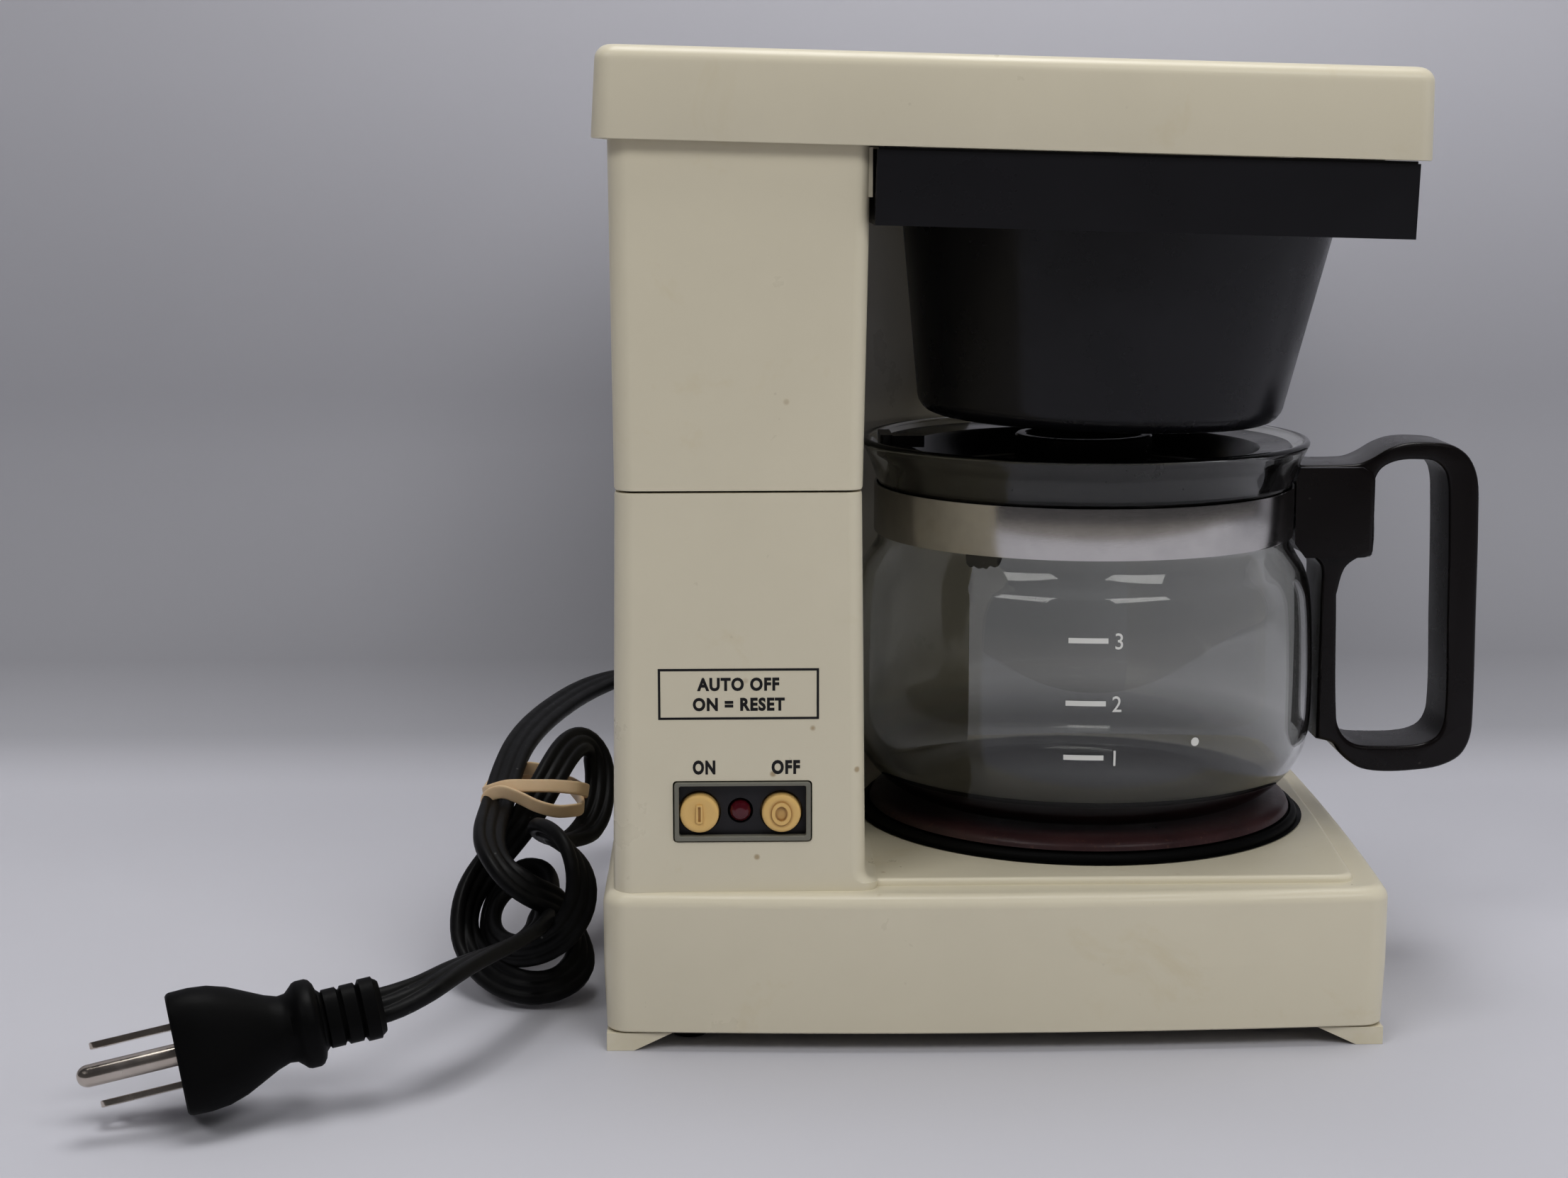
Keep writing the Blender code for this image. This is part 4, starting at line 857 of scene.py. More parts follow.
def carafe_handle():
    outer = round_loop(OUTER, keep=(0, 1, 2, 4, 5))
    inner = round_loop(INNER, keep=(0,))
    ch = side_prism("carafe_handle_grip", outer, CAR_Y - 9.6, CAR_Y + 9.6, "brown", "carafe")
    cut(ch, side_prism("c", inner, CAR_Y - 20, CAR_Y + 20))
    bev = []
    bm = bmesh.new()
    bm.from_mesh(ch.data)
    bmesh.ops.remove_doubles(bm, verts=bm.verts, dist=2e-6)
    ed = [e for e in bm.edges if len(e.link_faces) == 2 and e.calc_face_angle(0) > math.radians(60)
          and abs(e.verts[0].co.y - e.verts[1].co.y) < 1e-6]
    bmesh.ops.bevel(bm, geom=ed, offset=0.0022, segments=5, profile=0.5, affect="EDGES", clamp_overlap=True)
    bm.to_mesh(ch.data)
    bm.free()
    blk = side_prism("blk", [(166.0, 129.8), (166.0, 106.9), (191.4, 106.9), (192.3, 107.3), (192.9, 108.5), (192.9, 126.5),
                             (192.3, 128.4), (190.0, 129.7)], CAR_Y - 12, CAR_Y + 12)
    bm = bmesh.new()
    bm.from_mesh(blk.data)
    ed = [e for e in bm.edges if e.calc_face_angle(0) > math.radians(60) and min(v.co.x for v in e.verts) * 1000 + OX > 168]
    bmesh.ops.bevel(bm, geom=ed, offset=0.0014, segments=4, profile=0.5, affect="EDGES", clamp_overlap=True)
    bm.to_mesh(blk.data)
    bm.free()
    union(ch, blk)
    cut(ch, turned("c", [(0, 40), (59.6, 40), (59.6, 99.0), (58.5, 103.0), (56.2, 107.0), (53.6, 110.5), (53.5, 127.0),
                         (55.8, 133.5), (57.2, 140), (0, 140)], CAR_X, CAR_Y, n=120),
        cyl("c", (190.4, CAR_Y, 118.5), 3.2, 8, axis="x", n=32), cyl("c", (170.0, CAR_Y, 118.5), 1.6, 24, axis="x", n=20))
    smooth(ch, 34)
    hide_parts("carafe_handle")


carafe_handle()


def carafe_lid():
    prof = [(52.2, 135.0), (52.2, 133.6), (51.6, 133.0), (49.95, 131.6), (49.6, 130.6), (49.4, 118.8), (49.2, 118.5), (48.1, 118.5),
            (47.9, 118.8), (47.9, 130.3), (47.3, 131.3), (45.0, 132.4), (44.6, 131.9), (42.9, 126.4), (42.2, 125.6), (5.3, 125.6),
            (5.0, 125.9), (5.0, 127.1), (5.3, 127.4), (14.4, 127.4), (14.6, 127.7), (14.6, 137.1), (15.1, 137.6), (16.8, 137.6),
            (17.3, 137.1), (17.3, 127.7), (17.6, 127.4), (41.2, 127.4), (41.7, 127.8), (43.6, 133.9), (44.2, 134.6), (51.2, 135.6),
            (51.8, 135.5), (52.2, 135.0)]
    cl = turned("carafe_lid_cap", prof, CAR_X, CAR_Y, "lid", "lid", n=128)
    union(cl, box("t", 70.2, 80.0, 69.5, 74.5, 134.3, 137.2, r=0.8), box("t", 68.6, 71.6, 65.0, 79.0, 135.0, 137.9, r=0.8))
    # hanging tongue with a torn lower edge
    edge = [(91.4, 101.6), (92.3, 100.2), (93.2, 101.0), (94.4, 99.7), (95.6, 100.4), (96.3, 99.6), (97.5, 101.2), (98.6, 100.3),
            (99.7, 101.5), (100.6, 104.6)]
    bm = bmesh.new()
    poly = [(100.6, 126.6), (91.4, 126.6)] + edge
    loft(bm, [[(x, y, z) for x, z in poly] for y in (75.4, 77.2)])
    union(cl, new_obj("t", bm))
    smooth(cl, 34)
    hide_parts("carafe_lid")


carafe_lid()


# ------------------------------------------------------------ lettering and printed marks
def text_mesh(txt, size, bold=0.0):
    """Outline of plain built-in letters as a flat mesh: coordinates in mm, baseline at 0, centred in x."""
    cu = bpy.data.curves.new("t", "FONT")
    cu.body = txt
    cu.size = size
    cu.offset = bold
    cu.space_character = 1.0 + bold * 0.75
    cu.align_x = "CENTER"
    cu.resolution_u = 4
    ob = bpy.data.objects.new("t", cu)
    bpy.context.scene.collection.objects.link(ob)
    bpy.context.view_layer.update()
    dg = bpy.context.evaluated_depsgraph_get()
    me = bpy.data.meshes.new_from_object(ob.evaluated_get(dg))
    v = [tuple(p.co) for p in me.vertices]
    f = [tuple(p.vertices) for p in me.polygons]
    bpy.data.objects.remove(ob, do_unlink=True)
    bpy.data.meshes.remove(me)
    return v, f


def decal(name, shapes, place, m, body, print_thick_or_glass_shade=0.04):
    """Thin raised print: shapes are (verts2d, faces) in mm; place maps (u, v, h) to design mm."""
    bm = bmesh.new()
    for vs, fs in shapes:
        top = [bm.verts.new(place(u[0], u[1], print_thick_or_glass_shade)) for u in vs]
        bot = [bm.verts.new(place(u[0], u[1], 0.004)) for u in vs]
        count = {}
        for f in fs:
            for i in range(len(f)):
                a, b = f[i], f[(i + 1) % len(f)]
                count[(a, b)] = count.get((a, b), 0) + 1
        for f in fs:
            try:
                bm.faces.new([top[i] for i in f])
                bm.faces.new([bot[i] for i in reversed(f)])
            except ValueError:
                pass
        for (a, b) in list(count):
            if (b, a) not in count:
                try:
                    bm.faces.new((top[a], bot[a], bot[b], top[b]))
                except ValueError:
                    pass
    ob = new_obj(name, bm, m, body)
    return ob


def moved(shape, dx, dy, sx=1.0, sy=1.0):
    return [(u[0] * sx + dx, u[1] * sy + dy) for u in shape[0]], shape[1]


def bar(x0, x1, y0, y1, nx=1):
    xs = [x0 + (x1 - x0) * k / nx for k in range(nx + 1)]
    v = [(x, y0) for x in xs] + [(x, y1) for x in xs]
    n = nx + 1
    return v, [(k, k + 1, n + k + 1, n + k) for k in range(nx)]


def ring_shape(cx, cy, r0, r1, n=28):
    v = [(cx + r * math.cos(2 * math.pi * k / n), cy + r * math.sin(2 * math.pi * k / n)) for r in (r0, r1) for k in range(n)]
    return v, [(k, n + k, n + (k + 1) % n, (k + 1) % n) for k in range(n)]


def front_y(z):
    return COL_F - 0.0


def on_front(u, v, h):
    return (u, COL_F - h, v)


def on_glass(u, v, h):
    """Print on the carafe: u is the arc length in mm from the -Y side of the axis, v is the height."""
    r = profile_radius(OUT, v) + 0.02 + h
    a = -math.pi / 2 + u / 58.8
    return (CAR_X + r * math.cos(a), CAR_Y + r * math.sin(a), v)


def arc_u(x):
    return 58.8 * math.asin(max(-0.999, min(0.999, (x - CAR_X) / 58.8)))


def fine_faces(shape, step):
    """Slice a flat shape into narrow strips so that it can bend round the glass."""
    bm = bmesh.new()
    vs = [bm.verts.new((u[0], u[1], 0)) for u in shape[0]]
    for f in shape[1]:
        try:
            bm.faces.new([vs[i] for i in f])
        except ValueError:
            pass
    xs = [u[0] for u in shape[0]]
    x = min(xs) + step
    while x < max(xs):
        bmesh.ops.bisect_plane(bm, geom=bm.verts[:] + bm.edges[:] + bm.faces[:], plane_co=(x, 0, 0), plane_no=(1, 0, 0))
        x += step
    bm.verts.index_update()
    out = [(v.co.x, v.co.y) for v in bm.verts], [tuple(v.index for v in f.verts) for f in bm.faces]
    bm.free()
    return out


# printed marks on the column: a label box, ON and OFF
frame_shapes = [bar(14.0, 51.0, 90.7, 91.25), bar(14.0, 51.0, 79.3, 79.85), bar(14.0, 14.55, 79.85, 90.7), bar(50.45, 51.0, 79.85, 90.7)]
decal("label_frame", frame_shapes, on_front, "ink", "machine")
decal("label_line_1", [moved(text_mesh("AUTO OFF", 4.0, 0.17), 32.5, 86.2, 0.88)], on_front, "ink", "machine")
decal("label_line_2", [moved(text_mesh("ON = RESET", 4.0, 0.17), 32.5, 81.5, 0.88)], on_front, "ink", "machine")
decal("word_on", [moved(text_mesh("ON", 4.25, 0.20), 24.5, 66.55, 0.74)], on_front, "ink", "machine")
decal("word_off", [moved(text_mesh("OFF", 4.25, 0.20), 43.3, 66.55, 0.80)], on_front, "ink", "machine")

# printed marks on the glass: level bars with numerals, and a dot
for k, (z, x0, x1) in enumerate(((94.8, 109.9, 119.3), (79.9, 109.5, 118.9), (66.8, 109.2, 118.6))):
    num = str(3 - k)
    u0, u1 = arc_u(x0), arc_u(x1)
    decal("level_bar_" + num, [bar(u0, u1, z - 0.62, z + 0.62, 10)], on_glass, "print", "carafe", 0.06)
    tm = fine_faces(moved(text_mesh(num, 5.4, 0.02), u1 + 2.6, z - 1.95, 0.92), 0.4)
    decal("level_number_" + num, [tm], on_glass, "print", "carafe", 0.06)
ud = arc_u(140.8)
dot = ([(ud, 69.8)] + [(ud + 1.05 * math.cos(2 * math.pi * k / 24), 69.8 + 1.05 * math.sin(2 * math.pi * k / 24)) for k in range(24)],
       [(0, k + 1, (k + 1) % 24 + 1) for k in range(24)])
decal("level_dot", [dot], on_glass, "print", "carafe", 0.06)

# ------------------------------------------------------------ switch panel
bz = prism("bezel_switch", rect(17.5, 49.1, 50.5, 64.5, 0.8, 5), 0.9, 3.1, "grey", "machine", tf=lambda p: (p[0], p[2], p[1]))
cut(bz, prism("c", rect(18.6, 48.0, 51.7, 63.6, 0.5, 5), -2, 6, tf=lambda p: (p[0], p[2], p[1])))
soften(bz, 0.25, 3, 40)
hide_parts("switch_bezel")
BZ = 57.0
BTN = (("on", 23.3), ("off", 42.3))
pn = prism("panel_switch", rect(18.0, 48.6, 51.0, 64.2, 0.5, 4), 3.4, 5.2, "matte", "machine", tf=lambda p: (p[0], p[2], p[1]))
for nm, x in BTN:
    cut(pn, cyl("c", (x, 0, BZ), 4.9, 9, axis="y", n=64))
cut(pn, cyl("c", (32.8, 0, 57.3), 2.9, 9, axis="y", n=40))
soften(pn, 0.2, 2, 40)
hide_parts("switch_panel")


def button_grime(m):
    """Brown grime settled in and round the raised marks of the two buttons, laid out in the machine's own frame."""
    nt = m.node_tree
    b = next(n for n in nt.nodes if n.type == "BSDF_PRINCIPLED")
    src = b.inputs["Base Color"].links[0].from_socket
    sp = node(nt, "ShaderNodeSeparateXYZ")
    nt.links.new(coords(nt), sp.inputs[0])

    def off(x):
        c = T((x, 0, BZ))
        return (math_n(nt, "MULTIPLY", math_n(nt, "SUBTRACT", sp.outputs["X"], c[0]), 1000.0),
                math_n(nt, "MULTIPLY", math_n(nt, "SUBTRACT", sp.outputs["Z"], c[2]), 1000.0))
    dx, dz = off(BTN[1][1])
    dx = math_n(nt, "MULTIPLY", dx, 1.18)
    r = math_n(nt, "SQRT", math_n(nt, "ADD", math_n(nt, "MULTIPLY", dx, dx), math_n(nt, "MULTIPLY", dz, dz)))
    ring = ramp(nt, math_n(nt, "MULTIPLY", r, 0.2), [(0.0, 0.20), (0.24, 0.30), (0.33, 0.75), (0.37, 0.02), (0.51, 0.02), (0.55, 0.60), (0.62, 0.22), (0.72, 0.0)])
    dx, dz = off(BTN[0][1])
    d = math_n(nt, "MAXIMUM", math_n(nt, "SUBTRACT", math_n(nt, "ABSOLUTE", dx), 0.75), math_n(nt, "SUBTRACT", math_n(nt, "ABSOLUTE", dz), 2.2))
    edge = ramp(nt, math_n(nt, "ADD", math_n(nt, "MULTIPLY", d, 0.5), 0.5), [(0.24, 0.40), (0.32, 0.0), (0.49, 0.0), (0.52, 0.45), (0.57, 0.0), (0.72, 0.0)])
    f = math_n(nt, "MAXIMUM", ring, edge)
    nt.links.new(mixc(nt, f, src, (0.30, 0.13, 0.035)), b.inputs["Base Color"])


button_grime(M["tan"])
for nm, x in BTN:
    b = lathe("button_" + nm, (x, 0, BZ), [(1.22, 2.2), (1.12, 3.2), (1.1, 3.7), (1.18, 4.1), (1.36, 4.38), (1.65, 4.52), (2.1, 4.55),
                                          (5.55, 4.55), (5.6, 5.4), (5.75, 5.5), (6.9, 5.5), (7.0, 5.4), (7.0, 1.7), (7.05, 1.6),
                                          (13.3, 1.6), (13.5, 1.4)], "tan", "button_" + nm, axis="y", n=64)
    if nm == "on":
        mk = prism("c", fillet([(x - 0.75, BZ - 2.2), (x + 0.75, BZ - 2.2), (x + 0.75, BZ + 2.2), (x - 0.75, BZ + 2.2)], [0.6] * 4, 5), 0.72, 3.0,
                   tf=lambda p: (p[0], p[2], p[1]))
        slotcut = prism("c", fillet([(x - 0.32, BZ - 1.8), (x + 0.32, BZ - 1.8), (x + 0.32, BZ + 1.8), (x - 0.32, BZ + 1.8)], [0.28] * 4, 4), 0.5, 1.25,
                        tf=lambda p: (p[0], p[2], p[1]))
        union(b, mk)
        cut(b, slotcut)
    else:
        el = lambda rx, rz: [(x + rx * math.cos(2 * math.pi * k / 40), BZ + rz * math.sin(2 * math.pi * k / 40)) for k in range(40)]
        mk = prism("c", el(2.25, 2.75), 0.72, 3.0, tf=lambda p: (p[0], p[2], p[1]))
        cut(mk, prism("c", el(1.25, 1.75), 0.5, 3.5, tf=lambda p: (p[0], p[2], p[1])))
        ctr = cut(b, prism("c", el(1.2, 1.7), 0.5, 1.45, tf=lambda p: (p[0], p[2], p[1])))
        union(b, mk)
    smooth(b, 30)
    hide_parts(nm + "_button")
ln = lathe("lens_indicator", (32.8, 0, 57.3), [(1.95, 0.7), (2.0, 1.2), (2.35, 1.95), (2.7, 2.3), (2.9, 2.45), (3.2, 2.5), (8.0, 2.5)],
           "lens", "machine", axis="y", n=12)
soften(ln, 0.12, 2, 14)
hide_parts("indicator_lens")

# ------------------------------------------------------------ screws, pins and inner pieces keep their shape
for n, mk in (("cover_hinge_pin_left", "nickel"), ("cover_hinge_pin_right", "nickel"), ("spray_head", "white"), ("reservoir_tank", "white"),
              ("check_valve", "white"), ("cold_water_hose", "silicone"), ("heater_water_tube", "alu"), ("heater_rod", "zinc"),
              ("hot_water_riser", "silicone"), ("thermostat", "matte"), ("thermal_fuse", "zinc"), ("heater_strap", "zinc"),
              ("base_screw_front_left", "zinc"), ("base_screw_front_right", "zinc"), ("base_screw_rear_right", "zinc"),
              ("base_screw_rear_left", "zinc"), ("on_spring", "nickel"), ("off_spring", "nickel"), ("on_switch", "matte"),
              ("off_switch", "matte"), ("indicator_lamp", "lens"), ("timer_board", "board"), ("timer_relay", "matte"),
              ("band_screw", "nickel"), ("strain_relief", "rubber"), ("plug_blade_upper", "nickel"), ("plug_blade_lower", "nickel"),
              ("plug_ground_pin", "nickel")):
    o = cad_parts[n]
    if o.material_slots:
        for s in o.material_slots:
            s.material = M[mk]
    else:
        o.data.materials.append(M[mk])

# ------------------------------------------------------------ power cord
CORD_W, CORD_T = 8.5, 3.6
# route: x, y, z in design mm, and how far the flat side is turned away from the front, in degrees
ROUTE = [(22, 161.9, 55, 60), (22, 167, 55, 60), (19.0, 173.5, 55.1, 60), (12.0, 178.5, 55.0, 55), (4.0, 179.5, 54.6, 50),
         (-4.5, 173, 53.6, 45), (-12.0, 160, 53.1, 40), (-17.5, 143, 52.7, 40), (-23.3, 120, 51.9, 40), (-27.2, 101, 49.6, 40),
         (-29.0, 86, 45.6, 35), (-29.6, 73, 42.4, 30), (-30.4, 59, 40.0, 22), (-30.7, 47.5, 38.3, 12), (-28.0, 38.5, 35.0, 0),
         (-23.1, 33.5, 31.8, 0), (-17.6, 34, 27.6, -10), (-12.4, 43, 21.3, -30), (-8.0, 49, 15.2, -45), (-6.0, 46, 10.6, -35),
         (-6.5, 38, 7.4, -15), (-10.6, 32, 5.2, 0), (-17.0, 29, 4.6, 0), (-24.4, 31, 5.6, 0), (-30.6, 38, 7.6, 10),
         (-35.6, 46, 10.2, 40), (-38.4, 51, 14.6, 66), (-38.4, 55, 19.0, 66), (-36.0, 60, 23.4, 50), (-32.0, 65, 27.6, 30),
         (-26.7, 68, 32.6, 18), (-22.4, 70, 37.4, 8), (-19.3, 74, 42.4, 0), (-16.5, 80, 47.2, 0), (-13.6, 88, 51.6, 0),
         (-10.6, 97, 54.0, 6), (-7.0, 103, 52.4, 12), (-4.4, 104, 47.4, 12), (-4.2, 98, 41.2, 8), (-4.6, 91, 35.4, 8),
         (-6.4, 84, 30.6, 20), (-10.8, 77, 29.2, 45), (-15.6, 69, 32.4, 45), (-18.8, 60, 37.2, 28), (-16.4, 49.5, 40.6, 10),
         (-11.2, 41, 41.0, 0), (-7.0, 36.5, 38.0, 0), (-5.0, 34.5, 33.2, 0), (-4.7, 33.5, 27.8, 0), (-6.4, 31.5, 22.2, 0),
         (-10.4, 29.6, 17.9, 0), (-16.0, 29.4, 15.0, 0), (-22.3, 32.5, 13.4, 0), (-27.7, 40, 12.6, 10), (-31.2, 49, 14.0, 12),
         (-31.4, 56, 17.6, 12), (-29.4, 62, 21.4, 14), (-25.6, 66, 24.8, 24), (-20.8, 67, 26.4, 40), (-16.8, 62.5, 26.0, 42),
         (-14.9, 54, 24.6, 30), (-14.6, 44.5, 22.9, 12), (-15.4, 34, 21.8, 0), (-17.6, 23.5, 21.7, 0), (-20.8, 12, 22.6, 0),
         (-25.8, 0, 24.2, 0), (-32.0, -13.5, 24.8, 0), (-38.8, -25.0, 23.9, 0), (-45.4, -29.9, 22.5, 0), (-50.4, -31.4, 21.8, 0)]


def catmull(pts, step):
    P = [np.array(p, float) for p in pts]
    P = [2 * P[0] - P[1]] + P + [2 * P[-1] - P[-2]]
    out = []
    for i in range(1, len(P) - 2):
        p0, p1, p2, p3 = P[i - 1:i + 3]
        t = [0.0]
        for a, b in ((p0, p1), (p1, p2), (p2, p3)):
            t.append(t[-1] + max(np.linalg.norm(b[:3] - a[:3]), 1e-6) ** 0.5)
        for s in np.linspace(t[1], t[2], 16, endpoint=False):
            A1 = (t[1] - s) / (t[1] - t[0]) * p0 + (s - t[0]) / (t[1] - t[0]) * p1
            A2 = (t[2] - s) / (t[2] - t[1]) * p1 + (s - t[1]) / (t[2] - t[1]) * p2
            A3 = (t[3] - s) / (t[3] - t[2]) * p2 + (s - t[2]) / (t[3] - t[2]) * p3
            B1 = (t[2] - s) / (t[2] - t[0]) * A1 + (s - t[0]) / (t[2] - t[0]) * A2
            B2 = (t[3] - s) / (t[3] - t[1]) * A2 + (s - t[1]) / (t[3] - t[1]) * A3
            out.append((t[2] - s) / (t[2] - t[1]) * B1 + (s - t[1]) / (t[2] - t[1]) * B2)
    out.append(P[-2])
    out = np.array(out)
    L = np.concatenate([[0], np.cumsum(np.linalg.norm(np.diff(out[:, :3], axis=0), axis=1))])
    n = int(round(L[-1] / step)) + 1
    return np.stack([np.interp(np.linspace(0, L[-1], n), L, out[:, k]) for k in range(out.shape[1])], 1)


def lay_apart(P, rounds=60, gap=4.9):
    """Let strands of the knot rest beside each other, keep them above the table and off the housing."""
    X = P[:, :3].copy()
    n = len(X)
    idx = np.arange(n)
    far = np.abs(idx[:, None] - idx[None, :]) > 7
    free = np.ones(n)
    free[:6] = 0
    free[-14:] = 0
    free = free[:, None]
    for r in range(rounds):
        D = X[:, None, :] - X[None, :, :]
        dist = np.linalg.norm(D, axis=2) + 1e-9
        hit = far & (dist < gap)
        push = np.where(hit[..., None], D / dist[..., None] * (gap - dist)[..., None] * 0.25, 0).sum(1)
        X += np.clip(push, -0.6, 0.6) * free
        S = X.copy()
        S[1:-1] = 0.25 * X[:-2] + 0.5 * X[1:-1] + 0.25 * X[2:]
        X = X + (S - X) * 0.35 * free
        X[:, 2] = np.where(free[:, 0] > 0, np.maximum(X[:, 2], 4.6), X[:, 2])
        side = (X[:, 1] < 156) & (free[:, 0] > 0)
        X[:, 0] = np.where(side, np.minimum(X[:, 0], -4.4), X[:, 0])
    return X


RP = catmull(ROUTE, 2.4)
RX = lay_apart(RP)


def cord_frames(X, roll, front=(0.12, -1.0, 0.28)):
    n = len(X)
    c = np.array(front) / np.linalg.norm(front)
    N, prev = [], None
    tan = np.gradient(X, axis=0)
    tan /= np.linalg.norm(tan, axis=1)[:, None]
    for i in range(n):
        t = tan[i]
        cp = c - t * np.dot(c, t)
        w = np.dot(cp, cp)
        if prev is None:
            v = cp
        else:
            pp = prev - t * np.dot(prev, t)
            v = cp * 0.22 * w + pp / max(np.linalg.norm(pp), 1e-6)
        v /= np.linalg.norm(v)
        N.append(v)
        prev = v
    N = np.array(N)
    for _ in range(3):
        Q = N.copy()
        Q[1:-1] = N[:-2] + 2 * N[1:-1] + N[2:]
        Q -= tan * (Q * tan).sum(1)[:, None]
        N = Q / np.linalg.norm(Q, axis=1)[:, None]
    B = np.cross(tan, N)
    a = np.radians(roll)[:, None]
    return tan, N * np.cos(a) + B * np.sin(a), B * np.cos(a) - N * np.sin(a)


def cord_section():
    """Three cores side by side under one skin: (across, out of the flat side)."""
    cs, r = (-2.55, 0.0, 2.55), 1.8
    top = []
    for x in np.linspace(-4.25, 4.25, 25):
        h = max([math.sqrt(max(r * r - (x - c) ** 2, 0)) * (0.98 if c else 1.0) for c in cs] + [0.0])
        e = 4.25 - abs(x)
        floor = 1.32 if e > 0.9 else 0.0
        top.append((x, max(h, floor) if e > 0.02 else 0.0))
    return top + [(x, -h) for x, h in top[-2:0:-1]]


def sweep(name, X, nrm, wid, sec, m, body, cap=True):
    bm = bmesh.new()
    loops = [[tuple(p + w * s[0] + n * s[1]) for s in sec] for p, n, w in zip(X, nrm, wid)]
    loft(bm, loops, caps=cap, ring=not cap)
    return new_obj(name, bm, m, body)


tan, nrm, wid = cord_frames(RX, RP[:, 3])
cordp = sweep("power_cord", RX, nrm, wid, cord_section(), "cord", "machine")
smooth(cordp, 50)
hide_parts("cord_lead", "cord_tail", "cord_bundle")

BAND = [(-33.2, 72, 39.5), (-32.6, 70.5, 43.4), (-28.8, 68.5, 45.6), (-24.0, 66.5, 44.6), (-19.2, 64.5, 42.8), (-14.2, 64.5, 41.4),
        (-10.6, 66.5, 41.0), (-8.4, 72.5, 40.0), (-9.4, 84, 39.6), (-15.0, 93, 43.0), (-23.0, 94, 45.6), (-30.2, 89, 45.0),
        (-33.8, 80, 42.4), (-32.4, 73.5, 44.4), (-27.6, 70.2, 46.6), (-21.4, 69.0, 47.0), (-14.8, 69.0, 46.9), (-9.6, 70.5, 46.0),
        (-7.2, 76, 44.0), (-8.4, 85, 41.4), (-14.0, 95, 41.6), (-23.0, 97, 42.0), (-31.0, 90, 40.0), (-34.2, 80, 38.6)]


def rubber_band():
    P = [np.array(p, float) for p in BAND]
    P = catmull(P[-3:] + P + P[:4], 1.3)
    # cut one whole lap out of the padded curve
    a = int(np.argmin(np.linalg.norm(P[:40, :3] - np.array(BAND[0]), axis=1)))
    end = len(P) - 40 + int(np.argmin(np.linalg.norm(P[-40:, :3] - np.array(BAND[0]), axis=1)))
    P = P[a:end, :3]
    n = len(P)
    cen = np.array([-20.5, 80.0, 43.0])
    tan = np.roll(P, -1, 0) - np.roll(P, 1, 0)
    tan /= np.linalg.norm(tan, axis=1)[:, None]
    out = P - cen
    out -= tan * (out * tan).sum(1)[:, None]
    out /= np.linalg.norm(out, axis=1)[:, None]
    tw = np.radians(16 * np.sin(np.linspace(0, 2 * np.pi, n, endpoint=False) * 3))[:, None]
    B = np.cross(tan, out)
    N = out * np.cos(tw) + B * np.sin(tw)
    W = B * np.cos(tw) - out * np.sin(tw)
    sec = [(1.75 * math.copysign(abs(math.cos(a)) ** 0.35, math.cos(a)), 0.5 * math.copysign(abs(math.sin(a)) ** 0.5, math.sin(a)))
           for a in [2 * math.pi * (k + 0.5) / 16 for k in range(16)]]
    ob = sweep("band_rubber", P, N, W, sec, "tanband", "machine", cap=False)
    smooth(ob, 50)
    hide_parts("rubber_band")
    return ob


rb = rubber_band()

# ------------------------------------------------------------ plug
PF = Vector((-89.6, -42.0, 15.4))
PD = Vector((-0.954, -0.26, -0.151)).normalized()
PN = Vector((0.193, -0.915, 0.353))
PN = (PN - PD * PN.dot(PD)).normalized()
PB = PD.cross(PN)
if PB.z < 0:
    PB = -PB


def plug_tf(p):
    return tuple(PF + PD * p[0] + PN * p[1] + PB * p[2])


def plug_section(s, hn, hb, e=2.6, n=64):
    out = []
    for k in range(n):
        a = 2 * math.pi * k / n
        c, d = math.cos(a), math.sin(a)
        out.append((s, hn * math.copysign(abs(c) ** (2 / e), c), hb * math.copysign(abs(d) ** (2 / e), d)))
    return out


